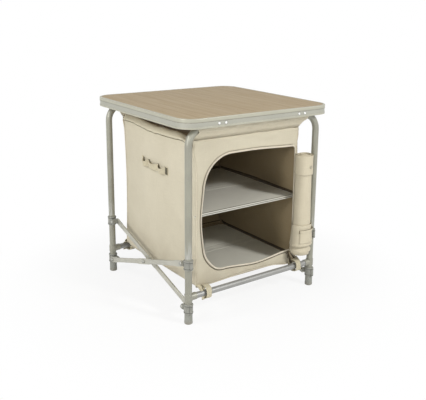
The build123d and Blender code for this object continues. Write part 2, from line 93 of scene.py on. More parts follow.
def make_piece(name, bm, body, stands_for=(), thickness=0.0, side=-1.0):
    bmesh.ops.scale(bm, verts=bm.verts, vec=(MM, MM, MM))
    mesh = bpy.data.meshes.new(name)
    bm.to_mesh(mesh)
    bm.free()
    for polygon in mesh.polygons:
        polygon.use_smooth = True
    piece = bpy.data.objects.new(name, mesh)
    bpy.context.scene.collection.objects.link(piece)
    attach(piece, body)
    if stands_for:
        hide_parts(*stands_for)
    if thickness:
        solid = piece.modifiers.new("cloth_thickness", "SOLIDIFY")
        solid.thickness = thickness * MM
        solid.offset = side
        solid.use_rim = True
    print(name, len(mesh.polygons), "faces")
    return piece


def soften(bm, geom, width, segments, affect="EDGES"):
    bmesh.ops.bevel(bm, geom=geom, offset=width, offset_type="OFFSET", segments=segments, profile=0.5,
                    affect=affect, material=-1)


# %% [markdown]
# ## Cloth that is cut flat and then put in place
# Fabric is a flat sheet that somebody cut, so each piece of cloth starts as a flat grid of its cut size.
# The flat position of every point is kept as the UV map, in metres, so that the weave follows the cloth.
# Then a function says where each point of the flat sheet goes. A cloth simulation could find the same
# folds, but the panels here are sewn tight and hardly hang free, so placing them by rule is steadier.


# %% Cut a flat sheet and lay it by a rule
def turn_outward(bm, outward):
    """Open cloth has no inside, so its faces are turned towards a direction that we know is out."""
    bm.normal_update()
    total = 0.0
    for face in bm.faces:
        way = outward(face.calc_center_median()) if callable(outward) else Vector(outward)
        total += face.normal.dot(way) * face.calc_area()
    if total < 0:
        bmesh.ops.reverse_faces(bm, faces=bm.faces)


def keep_flat(bm, second_axis):
    flat = bm.loops.layers.uv.new("flat")
    for face in bm.faces:
        for corner in face.loops:
            corner[flat].uv = (corner.vert.co.x * MM, corner.vert.co[second_axis] * MM)


def cut_sheet(width, length, step, rule, outward):
    bm = bmesh.new()
    columns, rows = (max(1, round(size / step)) for size in (width, length))
    bmesh.ops.create_grid(bm, x_segments=columns, y_segments=rows, size=0.5)
    bmesh.ops.scale(bm, verts=bm.verts, vec=(width, length, 1))
    keep_flat(bm, 1)
    for vert in bm.verts:
        vert.co = rule(vert.co.x, vert.co.y)
    turn_outward(bm, outward)
    return bm


# %% Smooth steps, bumps and ripples
def ripple(a, b, seed, size):
    """A smooth random height between about -1 and 1, the same in every run."""
    return noise.noise(Vector((a / size, b / size, seed)))


def ease(low, high, value):
    """Climbs softly from 0 at low to 1 at high."""
    share = min(1.0, max(0.0, (value - low) / (high - low)))
    return share * share * (3 - 2 * share)


def hump(middle, reach, value):
    """A soft bump: 1 in the middle, 0 from the reach on."""
    share = max(0.0, 1 - abs(value - middle) / reach)
    return share * share * (3 - 2 * share)


def between(start, full, fade, end, value):
    """Climbs softly from start to full, stays, and falls softly from fade to end."""
    return ease(start, full, value) * (1 - ease(fade, end, value))


# %% [markdown]
# ## The bag's measures
# The cloth sits where the CAD solids are: the front and rear panels hang between the legs, the sides
# stand 175 mm from the middle, and the seam below the tube sleeves is 477 mm up.

# %% Measures of the bag
half_bag = -box_mm("bag_left_panel")[0].x
bag_floor = box_mm("bag_front_panel")[0].z
panel_front, panel_rear = -190.0, 190.0
panel_width, panel_length = 350.0, 395.0
side_depth, roof_depth = 379.0, 377.0
panel_cloth = 1.4
seam_height = 477.0
seam_lean = 7.0
hem_middle = 461.5
tube_height, tube_reach = 513.0, 212.0
opening_left, opening_right = -148.0, 158.0
opening_low, opening_high = 118.0, 430.0
opening_radii = (60, 12, 12, 85)
print("bag", round(half_bag, 1), "wide from the middle,", round(bag_floor, 1), "above the floor")

# %% [markdown]
# ## How the bag hangs
# A bag on a frame is held at its top and its lower corners. Between them its upright edges draw in, the
# sides belly out a little, and the cloth is never quite flat. Three functions say where the cloth of the
# front, the sides and the rear stands. Everything that is sewn on (tapes, handles, stitches) asks the
# same functions, so nothing floats off the cloth.


# %% Where the cloth stands
def waist(z):
    """How much an upright edge draws in: nothing at top and bottom, most in the middle."""
    return math.sin(math.pi * min(1.0, max(0.0, (z - bag_floor) / (seam_height - bag_floor))))


def drawn_in(z):
    """The roll hangs on the right edge and drags the bag's upper right corner inward."""
    return 14.0 * (max(0.0, z - 300) / 171) ** 1.4


def drawn_out(z):
    """The sleeve reaches round the tube's bend and pulls the upper left corner outward."""
    return 13.0 * ease(390, 472, z)


def corner_pull(side, y, z):
    """How far a side's upper front corner stands out by these two: the left one out, the right one in."""
    return hump(panel_front, 75, y) * (drawn_out(z) if side < 0 else -drawn_in(z))


def seam_wave(x, z=seam_height):
    return 2.2 * ripple(x, 0, 3.1, 34) * ease(455, seam_height, z)


def seam_out(z):
    """The seam below the tube stands out from the panel, and the cloth leans out towards it."""
    return seam_lean * ease(440, seam_height, z)


def hang_front(x, y, z):
    edge = x / half_bag
    # Up and down: the mouth's sill and the hem sag, the seam waves, the mouth's top droops to the right.
    sag = -11.0 * hump(30, 120, x) * between(84, 112, 122, 190, z)
    hem = (4.0 * hump(0, 130, x) - 7.0 * hump(140, 52, x)) * (1 - ease(84, 116, z))
    droop = -7.0 * ease(-10, opening_right, x) * between(350, 424, 438, 474, z)
    # To and fro: the seam leans out, free cloth bellies and puckers, the strap gathers the lower corner.
    belly = -1.6 * ripple(x, z, 7.7, 90) * between(-172, -150, 128, 150, x)
    belly -= 2.4 * ripple(x, 1.6 * z, 9.9, 26) * between(432, 464, 466, seam_height, z)
    pull = -3.5 * hump(152, 30, x) * hump(96, 34, z) * (1 + 0.6 * math.sin(x / 3.4))
    # Sideways: the edges draw in, the upper corners are dragged, the mouth's left side is a bow.
    draw = math.copysign(2.5 * waist(z) * abs(edge) ** 8, x)
    draw += drawn_in(z) * max(0.0, edge) ** 24 + drawn_out(z) * max(0.0, -edge) ** 10
    bow = 9.5 * hump(opening_left, 27, x) * hump(262, 115, z)
    rounder = hump(-132, 43, x) * hump(140, 60, z)
    return Vector((
        x - draw - bow + 4.0 * rounder,
        y + belly + pull - seam_out(z),
        z + sag + hem + seam_wave(x, z) + droop + 1.5 * rounder,
    ))


def hem_height(y):
    """Where the lip of the roof ends on the sides: it sags in the middle."""
    slack = 1.3 * ripple(y, 0, 51.0, 55) + 1.5 * ripple(y, 0, 57.0, 20)
    return hem_middle + 10.0 * ease(20, 170, y) + 3.5 * ease(20, 150, -y) + slack


def side_wall(side, y, z):
    rear, front = hump(panel_rear, 160, y), hump(panel_front, 120, y)
    loose = hump(0, 186, y) * (1 - ease(420, 462, z))
    belly = loose * (2.2 * between(100, 200, 380, 450, z) + 1.2 * ripple(y, z, 31.0 + side, 105))
    x = half_bag + belly - waist(z) * (4.0 * rear + 2.5 * front) + corner_pull(side, y, z)
    x -= 1.1 * max(0.0, z - hem_height(y) - 3)
    if side > 0:
        folds = 4.0 * max(0.0, 1 - abs(y - 48) / 140) - 2.0 * max(0.0, 1 - abs(y + 92) / 98)
        x += folds * between(100, 140, 435, 460, z)
    return Vector((side * x, y - 2.5 * waist(z) * rear, z))


def rear_wall(x, z):
    edge = ease(40, half_bag, abs(x))
    belly = hump(0, 172, x) * ease(110, 150, z) * (1.5 * ripple(x, z, 21.0, 110) + 0.5)
    draw = math.copysign(4.0 * waist(z) * (abs(x) / half_bag) ** 8, x)
    return Vector((x - draw, panel_rear + belly + seam_out(z) - 2.5 * waist(z) * edge, z))


# %% [markdown]
# ## The front panel
# The panel is one cut of canvas with a big rounded hole: round on the left, nearly square on the right
# where the door is sewn on. A hole in a square grid would leave a ragged edge, so the mesh grows outward
# from the hole instead. A rectangle gets its corners rounded by a vertex bevel, its edge is extruded to
# the panel's border, and the long edges between are subdivided into rings.


# %% The outline of the opening
def opening_outline(bm):
    corners = [bm.verts.new((x, panel_front, z)) for x, z in (
        (opening_left, opening_low), (opening_right, opening_low),
        (opening_right, opening_high), (opening_left, opening_high))]
    bm.faces.new(corners)
    for corner, radius in zip(corners, opening_radii):
        soften(bm, [corner], radius, 14 if radius > 20 else 5, "VERTICES")
    for edge in [edge for edge in bm.edges if edge.calc_length() > 30]:
        bmesh.ops.subdivide_edges(bm, edges=[edge], cuts=int(edge.calc_length() / 6))
    mouth = max(bm.faces, key=lambda face: face.calc_area())
    around = list(mouth.verts)
    bmesh.ops.delete(bm, geom=[mouth], context="FACES_ONLY")
    return around


def outward_ways(around):
    """At each point of a closed outline, the way out, across the line from its last to its next point."""
    ways = []
    middle = sum((vert.co for vert in around), Vector()) / len(around)
    for place, vert in enumerate(around):
        along = around[(place + 1) % len(around)].co - around[place - 1].co
        way = Vector((along.z, 0, -along.x)).normalized()
        ways.append(way if way.dot(vert.co - middle) > 0 else -way)
    return ways


def grow_outline(bm, around):
    """Extrudes the closed outline and gives its new points in the same order."""
    edges = [bm.edges.get((vert, around[place - 1])) for place, vert in enumerate(around)]
    made = bmesh.ops.extrude_edge_only(bm, edges=edges)
    fresh = {item for item in made["geom"] if isinstance(item, bmesh.types.BMVert)}
    return [next(edge.other_vert(vert) for edge in vert.link_edges if edge.other_vert(vert) in fresh)
            for vert in around]


# %% Grow the panel from its opening to its border
def hang_on_front(bm):
    for vert in bm.verts:
        vert.co = hang_front(*vert.co)
    turn_outward(bm, (0, -1, 0))
    return bm


def front_panel_mesh():
    bm = bmesh.new()
    around = opening_outline(bm)
    border = grow_outline(bm, around)
    middle = Vector(((opening_left + opening_right) / 2, panel_front, (opening_low + opening_high) / 2))
    for vert in border:
        way = vert.co - middle
        edge_x = half_bag if way.x > 0 else -half_bag
        edge_z = seam_height if way.z > 0 else bag_floor
        reaches = [(edge - start) / step for edge, start, step in
                   ((edge_x, middle.x, way.x), (edge_z, middle.z, way.z)) if abs(step) > 1e-6]
        vert.co = middle + way * min(reaches)
    for x in (-half_bag, half_bag):
        for z in (bag_floor, seam_height):
            corner = Vector((x, panel_front, z))
            min(border, key=lambda vert: (vert.co - corner).length).co = corner
    inner = set(around)
    spokes = [edge for edge in bm.edges if (edge.verts[0] in inner) != (edge.verts[1] in inner)]
    bmesh.ops.subdivide_edges(bm, edges=spokes, cuts=9, use_grid_fill=True)
    keep_flat(bm, 2)
    return hang_on_front(bm)


front_panel = make_piece("front_panel", front_panel_mesh(), FRONT, ["bag_front_panel"], panel_cloth)

# %% [markdown]
# ## The sleeve over the top tube
# The panel hangs from a sleeve that goes round the top tube and is sewn shut below it, so its section is
# a drop: a circle with a point at the seam. Below the tube the cloth is loose and puffs out between the
# stitches. Above, the clips of the table top press on it, so there it stays tight on the tube. The sleeve
# is longer than the straight part of the tube, so its ends follow the tube into its bends.

# %% A drop-shaped section
bend_start, bend_radius = 167.0, 45.0
sleeve_round, sleeve_radius = 124.0, 11.2


def drop_radius(angle, radius, distance):
    """Distance from the tube's axis to a belt round the tube and a point, angle measured from that point."""
    touch = math.acos(radius / distance)
    angle = abs(math.atan2(math.sin(angle), math.cos(angle)))
    return radius / math.cos(touch - angle) if angle < touch else radius


def tube_axis(along):
    """A point on the top tube's axis and the way up across it. Past the bend's start it turns down."""
    bend = max(0.0, (abs(along) - bend_start) / bend_radius)
    hand = math.copysign(1.0, along)
    x = min(abs(along), bend_start) + bend_radius * math.sin(bend)
    place = Vector((hand * x, 0, tube_height - bend_radius * (1 - math.cos(bend))))
    return place, Vector((hand * math.sin(bend), 0, math.cos(bend)))


# %% Two sleeves
def tube_sleeve(name, side, left, right):
    def rule(place, around):
        along = place + (right - left) / 2
        turn = 2 * around / sleeve_round * math.pi
        share = 1 - abs(turn) / math.pi
        axis, up = tube_axis(along)
        axis.y = side * tube_reach
        end = half_bag - 1
        if side < 0:
            end += corner_pull(along, panel_front, seam_height)
        seam_x = along * end / (right if along > 0 else left)
        seam = Vector((seam_x, side * (189.2 + seam_lean), seam_height + seam_wave(seam_x)))
        distance = math.hypot(seam.y - axis.y, axis.z - seam_height)
        seam_angle = math.atan2(seam_height - axis.z, seam.y - axis.y)
        puff = 2.4 + 3.0 * ripple(along, 40 * turn, 11.0 + side, 26) + 1.8 * ripple(along, 20 * turn, 5.0, 10)
        puff *= hump(0.62, 0.42, share) * (1 - 0.5 * ease(150, 174, abs(along)))

        def on_section(radius, angle):
            return axis + Vector((0, radius * math.cos(angle), 0)) + up * (radius * math.sin(angle))

        radius = drop_radius(turn, sleeve_radius, distance) + puff
        place = on_section(radius, seam_angle + turn)
        if turn * side < 0:
            pinch = 0.85 * ease(left - 40, left, abs(along)) * ease(0.4, 0.75, share)
            place = place.lerp(on_section(radius, seam_angle - turn), pinch)
        to_seam = seam - on_section(distance, seam_angle)
        return place + to_seam * ease(0.4, 1.0, share)

    bm = cut_sheet(left + right, sleeve_round * (1 - 1e-6), sleeve_round / 32, rule,
                   lambda place: Vector((0, place.y - side * tube_reach, place.z - tube_height)))
    bmesh.ops.remove_doubles(bm, verts=bm.verts, dist=0.05)
    return make_piece(name, bm, FRONT if side < 0 else REAR, thickness=1.0)


front_sleeve = tube_sleeve("front_sleeve", -1, 190.0, 174.0)
rear_sleeve = tube_sleeve("rear_sleeve", 1, 180.0, 180.0)

# %% [markdown]
# ## The rear panel
# The back of the bag is the same cut without an opening. Its lower corners are not sharp: the floor of
# the bag is sewn in with a soft round edge, which shows where the side panel turns under.


# %% The soft lower edge at the rear
def round_rear_edge(place, radius=28.0):
    over_y = place.y - (panel_rear - radius)
    over_z = (bag_floor + radius) - place.z
    if over_y > 0 and over_z > 0:
        keep = max(over_y, over_z) / math.hypot(over_y, over_z)
        place.y = panel_rear - radius + over_y * keep
        place.z = bag_floor + radius - over_z * keep
    return place


def rear_rule(across, up):
    z = bag_floor + (up + panel_length / 2)
    place = round_rear_edge(rear_wall(across, z))
    place.z += seam_wave(across, z)
    return place


rear_panel = make_piece("rear_panel", cut_sheet(panel_width, panel_length, 6, rear_rule, (0, 1, 0)), REAR,
                        ["bag_rear_panel"], panel_cloth)

# %% [markdown]
# ## Sides and bottom in one length of cloth
# The two sides and the bottom are one long strip, folded up at the bottom edges. Folding the flat strip
# with a small radius keeps it one continuous sheet that sags.

# %% Fold the strip round the bag
fold_radius = 7.0
half_floor = half_bag - fold_radius
fold_length = fold_radius * math.pi / 2
body_top = 478.0
strip_length = 2 * (half_floor + fold_length + (body_top - bag_floor - fold_radius))


def body_rule(along, deep):
    side = 1 if along > 0 else -1
    run = abs(along)
    sag = (0.8 * ripple(run, deep, 40.0, 80) - 2.5 * hump(0, 160, run)) * hump(0, 186, deep)
    if run < half_floor:
        place = Vector((side * run, deep, bag_floor + sag))
    elif run < half_floor + fold_length:
        bend = (run - half_floor) / fold_radius
        rise = fold_radius * (1 - math.cos(bend))
        place = Vector((side * (half_floor + fold_radius * math.sin(bend)), deep, bag_floor + rise + sag))
    else:
        place = side_wall(side, deep, bag_floor + fold_radius + (run - half_floor - fold_length))
    return round_rear_edge(place)


def bag_outward(place):
    return Vector((0, 0, -1)) if place.z < bag_floor + 6 else Vector((place.x, 0, 0)).normalized()


bag_sides = make_piece("bag_sides", cut_sheet(strip_length, side_depth, 6, body_rule, bag_outward), FRONT,
                       ["bag_left_panel", "bag_right_panel", "bag_bottom"], panel_cloth)

# %% [markdown]
# ## The roof
# The roof closes the bag under the table top. Its edges slope down over the sides like the rim of a lid,
# puff out, and are sewn under with a soft lip. The lip gives the wavy crease below the table's edging, and a
# dark bead under it paints the crease's shadow line.

# %% Drape the roof over the sides
roof_flat, roof_height = 168.0, 479.0
roof_slope, slope_out, slope_down = 15.6, 10.0, 12.0
lip_radius, lip_start = 3.0, math.radians(45)
roof_lip = lip_radius * math.radians(125)
roof_length = 2 * (roof_flat + roof_slope + roof_lip)


def roof_rule(across, deep):
    side = 1 if across > 0 else -1
    run = abs(across)
    ends = hump(0, 200, deep)
    if run < roof_flat:
        hollow = ease(0, 32, roof_flat - run) * (1 - 0.7 * ease(150, 188, abs(deep)))
        x, z = run, roof_height - 2.5 * hollow - 0.8 * hump(0, 150, run) * ends
    elif run < roof_flat + roof_slope:
        share = (run - roof_flat) / roof_slope
        puff = 1.8 * math.sin(math.pi * share)
        puff += 5.0 * ripple(deep, 40 * share, 61.0 + side, 46) * share * (1 - share)
        x = roof_flat + slope_out * share + 0.8 * puff * ends
        z = roof_height - slope_down * share + 0.6 * puff * ends
    else:
        turn = lip_start - (run - roof_flat - roof_slope) / lip_radius
        x = roof_flat + slope_out + lip_radius * (math.cos(turn) - math.cos(lip_start))
        z = roof_height - slope_down + lip_radius * (math.sin(turn) - math.sin(lip_start))
    rim = ease(roof_flat - 34, roof_flat - 4, run)
    hem = ease(roof_flat, roof_flat + roof_slope, run)
    x += hem * 0.9 * ripple(deep, 0, 63.0, 30) * ends
    z += rim * (hem_height(deep) - hem_middle) + 1.2 * rim * ripple(deep, 0, 67.0, 40) * (1 - hem)
    z -= 11.0 * ease(90, 150, -deep) * rim * (1 - hem)
    x += hem * corner_pull(side, deep, 468)
    return Vector((side * x, deep, z))


roof_sheet = cut_sheet(roof_length, roof_depth, 4.5, roof_rule,
                       lambda place: Vector((place.x / half_bag, 0, 1)))
bag_roof = make_piece("roof", roof_sheet, FRONT, ["bag_roof"], 1.2)

# %% [markdown]
# ## Binding and zip round the opening
# The edge of the opening is bound with a light tape, and a brown coil zip runs outside it, as far as the
# side where the door is sewn on. Both are narrow profiles that follow the outline. Each is made by
# extruding the outline step by step to the next point of its profile, so they keep the outline's corners.


# %% A profile carried round the outline
def carry_profile(profile):
    bm = bmesh.new()
    around = opening_outline(bm)
    ways = outward_ways(around)
    start = [vert.co.copy() for vert in around]
    run = [0.0]
    for place in range(1, len(start) + 1):
        run.append(run[-1] + (start[place % len(start)] - start[place - 1]).length)
    stations = {}
    current = around
    for number, (grow, lift) in enumerate(profile):
        if number:
            current = grow_outline(bm, current)
        for place, vert in enumerate(current):
            vert.co = start[place] + ways[place] * grow + Vector((0, -lift, 0))
            stations[vert] = (place, number)
    flat = bm.loops.layers.uv.new("flat")
    for face in bm.faces:
        places = [stations[corner.vert][0] for corner in face.loops]
        wraps = max(places) - min(places) > len(start) / 2
        for corner in face.loops:
            place, number = stations[corner.vert]
            if wraps and place == 0:
                place = len(start)
            corner[flat].uv = (run[place] * MM, number * MM)
    return bm


binding_profile = [(0.2, -1.0), (-0.4, 0.5), (0.3, 1.5), (2.0, 2.0), (3.7, 1.5), (4.4, 0.4)]
binding = make_piece("binding", hang_on_front(carry_profile(binding_profile)), FRONT, ["opening_binding"])

zip_profile = [(4.9, 0.2), (5.2, 0.9), (6.1, 1.3), (7.0, 0.9), (7.4, 0.2)]
zip_end = 148
zip_mesh = carry_profile(zip_profile)
bmesh.ops.bisect_plane(
    zip_mesh, geom=zip_mesh.verts[:] + zip_mesh.edges[:] + zip_mesh.faces[:],
    plane_co=(zip_end, 0, 0), plane_no=(1, 0, 0), clear_outer=True,
)
coil_zip = make_piece("coil_zip", hang_on_front(zip_mesh), FRONT, ["door_zip"])

# %% [markdown]
# ## The zip's tail and slider
# With the door open, the end of the zip hangs from the opening's lower right corner as a small loop of
# brown tape, with the slider above it. The tail is a narrow strip folded back on itself. The slider is a
# bevelled block with a thin pull.

# %% Tail and slider
tail_length = 44.0


def tail_rule(across, along):
    down = tail_length - math.sqrt(along ** 2 + 9.0)
    lean = 13.0 * (down / tail_length) ** 1.2
    curl = 1.5 * math.sin((tail_length - down) / 9.0)
    widen = 1 + 1.3 * ease(5, 40, down)
    y = -196.0 - 3.4 * ease(-4, 4, along) - 4.0 * ease(10, 40, down)
    return Vector((144.0 + lean + curl + across * widen, y, 114.0 - 0.85 * down))


zip_tail = make_piece("zip_tail", cut_sheet(11, 86, 2, tail_rule, (0, -1, 0.2)), FRONT, ["door_zip"], 0.7, 1.0)


def bevelled_block(bm, size, place, width):
    made = bmesh.ops.create_cube(bm, size=1.0)["verts"]
    bmesh.ops.scale(bm, verts=made, vec=size)
    bmesh.ops.translate(bm, verts=made, vec=place)
    soften(bm, list({edge for vert in made for edge in vert.link_edges}), width, 2)


slider_mesh = bmesh.new()
bevelled_block(slider_mesh, (6.0, 3.2, 8.5), (138.0, -193.6, 109.5), 1.0)
bevelled_block(slider_mesh, (4.2, 0.9, 15.0), (139.4, -195.6, 101.0), 0.4)
bevelled_block(slider_mesh, (1.4, 2.2, 3.4), (138.4, -195.2, 109.0), 0.4)
zip_slider = make_piece("zip_slider", slider_mesh, FRONT, ["door_zip"])

# %% [markdown]
# ## The rolled-up door
# The door is a flat sheet that somebody rolled up and tied beside the opening. Cutting it flat and then
# winding it on a spiral gives the layers at both ends. The outer layer leaves the roll on its left and
# runs to the edge of the opening, where the door is sewn on. The roll isn't perfect: it is pressed flat
# against the panel, fuller and crumpled at the bottom, and its outer layer has long soft creases.

# %% Wind the door on a spiral
roll_x, roll_y = 168.0, -217.5
roll_low, roll_high = 106.0, 406.0
door_turns = 6.5
door_inner, door_outer = 4.6, 22.4
door_width, door_flap = 580.0, 20.0
leave_angle = math.radians(155)


def roll_shape(radius, angle, z):
    """The loose shape of the roll: pressed flat, leaning, fuller at its foot, with long dents."""
    height = min(1.0, max(0.0, (z - roll_low) / (roll_high - roll_low)))
    around = math.atan2(math.sin(angle), math.cos(angle))
    outer = min(1.0, radius / 22.0) ** 2
    crease = 0.9 * ripple(around * 11, z / 7, 71.0, 9) + 0.7 * ripple(around * 14, z, 73.0, 42)
    crumple = 2.6 * ripple(around * 14, z, 75.0, 12) + 3.4 * hump(123, 8, z)
    crease += crumple * (1 - ease(116, 140, z)) - 5.0 * hump(134, 6, z) - 2.6 * hump(113, 4, z)
    away = Vector((math.cos(angle), math.sin(angle))) * (radius * (1 + crease * outer / max(radius, 6.0)))
    wide = 1.10 + 0.25 * (1 - height) ** 1.6
    foot = 1 - 0.14 * (1 - ease(roll_low - 2, roll_low + 14, z)) * outer
    deep = away.y * (1.0 if away.y < 0 else 1.03) * foot
    return Vector((roll_x + 3.0 * (1 - height) + away.x * wide * foot, roll_y + deep, z))


def leave_roll(radius, share, z):
    """The cloth's way from the roll's left side to the edge of the opening where it is sewn on."""
    over = radius - door_outer
    end = Vector((156.5 - 9.0 * (1 - ease(110, 230, z)) - 0.9 * over, -193.2 - 0.5 * over, z))
    return roll_shape(radius, leave_angle, z).lerp(end, share)


def door_rule(along, up):
    run = along + door_width / 2
    wound = min(1.0, run / (door_width - door_flap))
    radius = math.sqrt(door_inner ** 2 + wound * (door_outer ** 2 - door_inner ** 2))
    angle = leave_angle + (1 - (radius - door_inner) / (door_outer - door_inner)) * door_turns * 2 * math.pi
    uneven = 3.2 * math.sin(wound * 11.0) * ease(90, 150, abs(up)) * (1 - wound ** 4)
    z = (roll_low + roll_high) / 2 + up + uneven
    flap = run - (door_width - door_flap)
    return leave_roll(door_outer, flap / door_flap, z) if flap > 0 else roll_shape(radius, angle, z)


def roll_outward(place):
    return Vector((place.x - roll_x, place.y - roll_y, 0))


door = make_piece("rolled_door", cut_sheet(door_width, roll_high - roll_low - 8, 4.4, door_rule, roll_outward),
                  FRONT, ["door_roll"], 1.1)

# %% [markdown]
# ## The bands that hold the roll
# A fabric band goes round each end of the roll. The upper one closes with a snap. The lower one is closed
# by a tab that lies over it, open along its top edge, so a dark line shows there. Each band is a flat
# strip laid round the roll just outside its last layer.

# %% Lay the bands round the roll
band_round = 24.0


def lay_band(name, radius, first, last, low, high, flare=0.0):
    """A strip round the roll from one angle to another, between two heights, flared at its lower edge."""
    first, last = math.radians(first), math.radians(last)

    def rule(along, up):
        angle = (first + last) / 2 + along / band_round
        z = (low + high) / 2 + up
        lift = flare * (1 - ease(low, low + 12, z)) + 0.35 * ripple(along, up, low, 24)
        z += 1.2 * ripple(along, 0, low + 3, 34)
        past = (leave_angle - 2 * math.pi) - angle
        if past > 0:
            return leave_roll(radius + lift, min(1.0, past * band_round / door_flap), z)
        return roll_shape(radius + lift, angle, z)

    bm = cut_sheet((last - first) * band_round, high - low, 3.5, rule, roll_outward)
    return make_piece(name, bm, FRONT, ["door_bands"], 0.9, 1.0)


upper_band = lay_band("upper_band", 23.4, -248, 80, 347, 402)
lower_band = lay_band("lower_band", 23.4, -248, 80, 137, 201, 2.4)
lower_tab = lay_band("lower_tab", 24.5, -137, 70, 147, 188, 0.6)
for vert in lower_tab.data.vertices:
    gape = 3.6 * MM * ease(174 * MM, 188 * MM, vert.co.z)
    vert.co += (vert.co - Vector((roll_x * MM, roll_y * MM, vert.co.z))).normalized() * gape

# %% [markdown]
# ## A snap on the upper band
# A snap is a low pressed dome with a rolled rim. A short polyline spun a full turn gives exactly that.


# %% Spin the snap
def spun_dome(place, out, profile):
    bm = bmesh.new()
    verts = [bm.verts.new((radius, 0, height)) for radius, height in profile]
    edges = [bm.edges.new(pair) for pair in zip(verts, verts[1:])]
    bmesh.ops.spin(bm, geom=verts + edges, cent=(0, 0, 0), axis=(0, 0, 1), angle=2 * math.pi, steps=24,
                   use_merge=True, use_duplicate=False)
    bmesh.ops.remove_doubles(bm, verts=bm.verts, dist=0.01)
    bmesh.ops.recalc_face_normals(bm, faces=bm.faces)
    turn = Vector((0, 0, 1)).rotation_difference(Vector(out)).to_matrix().to_4x4()
    bmesh.ops.transform(bm, matrix=Matrix.Translation(place) @ turn, verts=bm.verts)
    return bm


snap_profile = [(0, 1.2), (1.6, 1.3), (2.6, 1.1), (3.2, 1.7), (4.2, 1.8), (4.9, 1.1), (5.0, 0.0), (4.0, -0.4),
                (0, -0.4)]
snap_place = roll_shape(24.5, math.radians(-81), 370)
snap = make_piece("band_snap", spun_dome(snap_place, (0.12, -0.99, 0), snap_profile), FRONT, ["door_bands"])

# %% [markdown]
# ## Strap loops at the bag's feet
# A loop of webbing at each lower corner goes round the crossbar and keeps the bag down. It is loose: the
# strap leaves the panel level, turns down in front of the bar and comes back under it. A rounded square
# section does that, laid with a strip of webbing. The strap's free end is pulled from the bag's corner
# over the bar and tucked in beside the loop.

# %% Loops round the crossbars, and their free ends
loop_half, squareness = 50.0, 2.8


def loop_sheet(side, hand):
    middle_x, middle_y, middle_z = hand * 155.0, side * 208.5, 74.0
    half_y, half_z = 16.5, 15.5

    def rule(across, around):
        turn = around / loop_half * math.pi
        round_y, round_z = math.cos(turn), math.sin(turn)
        reach = (abs(round_y) ** squareness + abs(round_z) ** squareness) ** (-1 / squareness)
        wobble = 0.6 * ripple(across, around, 81.0 + hand, 18)
        y = middle_y + side * (half_y + wobble) * reach * round_y
        z = middle_z + (half_z + wobble) * reach * round_z - 1.5 * hump(0, 20, around)
        return Vector((middle_x + across + 1.4 * math.sin(around / 16 + hand), y, z))

    return cut_sheet(16, 2 * loop_half * (1 - 1e-6), 2.4, rule,
                     lambda place: Vector((0, place.y - middle_y, place.z - middle_z)))


def tail_sheet(side, hand):
    def rule(across, along):
        down = (along + 24) / 48
        x = hand * (171.5 - 3.0 * down) + across * (1 - 0.25 * down)
        y = side * (192.5 + 24.0 * math.sin(math.pi * min(1.0, down * 1.15) / 2))
        z = 90.0 - 14.0 * down - 19.0 * down ** 3
        twist = 3.0 * ripple(across, along, 87.0 + hand, 14)
        return Vector((x, y + 0.3 * twist * side, z + 0.4 * twist))

    return cut_sheet(13, 48, 2.4, rule, (0, side, 0.5))


def straps_of(end, side):
    return [make_piece(f"{end}_{hand_name}_{kind}", sheet(side, hand), end + "_frame", [end + "_strap_loops"],
                       thickness, 1.0)
            for kind, sheet, thickness in (("strap", loop_sheet, 1.3), ("tail", tail_sheet, 1.2))
            for hand_name, hand in (("left", -1), ("right", 1))]


front_straps = straps_of("front", -1)
rear_straps = straps_of("rear", 1)

# %% [markdown]
# ## Handles on the sides
# A strip of webbing is sewn to each side in four places and bows out between them: two short bows for
# hanging things and a long one for a hand. Where it is sewn down, a dark bar of thread crosses it, and a
# longer dark patch lies beyond its front end; these paint the shade where the strip dips into the cloth.

# %% Bow the handle strips
SIDES = (("left", -1), ("right", 1))
handle_ends = [72.0, 43.0, -10.0, -46.0]
handle_bows = (10.0, 8.0, 10.0)
handle_middle, handle_height = 12.0, 370.0


def handle_bow(y):
    """How far the strip stands off the side, from its sewn places."""
    for high, low, bow in zip(handle_ends, handle_ends[1:], handle_bows):
        if low < y < high:
            return bow * math.sin(math.pi * (y - low) / (high - low)) ** 0.8
    return 0.0


def handle_place(side, y, up, off):
    stand = handle_bow(y)
    z = handle_height + 0.045 * y + up * (1 - 0.03 * stand) - 0.45 * stand
    wall = side_wall(side, y, z)
    return Vector((wall.x + side * (off + stand * (1.0 + 0.05 * up / 12)), wall.y, z))


def side_handle(side_name, side):
    bm = cut_sheet(142, 22, 2.4, lambda along, up: handle_place(side, along + handle_middle, up, 0.2),
                   (side, 0, 0))
    return make_piece(side_name + "_webbing", bm, FRONT, [side_name + "_handle"], 1.5, 1.0)


# Dark tacks at the sewn places: painted shade where the strip meets the cloth.
def bar_tacks_shade(side_name, side):
    bm = bmesh.new()
    for y in handle_ends:
        for number in range(9):
            bevelled_block(bm, (1.3, 6.0, 2.1), handle_place(side, y, number * 2.3 - 9.2, 1.9), 0.5)
    # The longer dark patch: painted shade at the strip's front end.
    for number in range(8):
        bevelled_block(bm, (1.2, 9.0, 2.2), handle_place(side, -53.0, number * 2.4 - 8.4, 1.9), 0.5)
    return make_piece(side_name + "_bar_tacks_shade", bm, FRONT)


handles = [side_handle(*hand) for hand in SIDES]
handle_shade_tacks = [bar_tacks_shade(*hand) for hand in SIDES]

# %% [markdown]
# ## Shelf and floor boards
# Each board is a thin panel in a fabric cover, a little smaller than the bag, so a dark gap runs along
# the walls. A flat face gets its outer corners rounded, is extruded to its thickness, and all its edges
# are bevelled, because cloth can't make a sharp edge. A soft strip joins the two halves.

# %% Covered boards
board_side_gap, board_corner, board_edge = 4.0, 14, 1.7


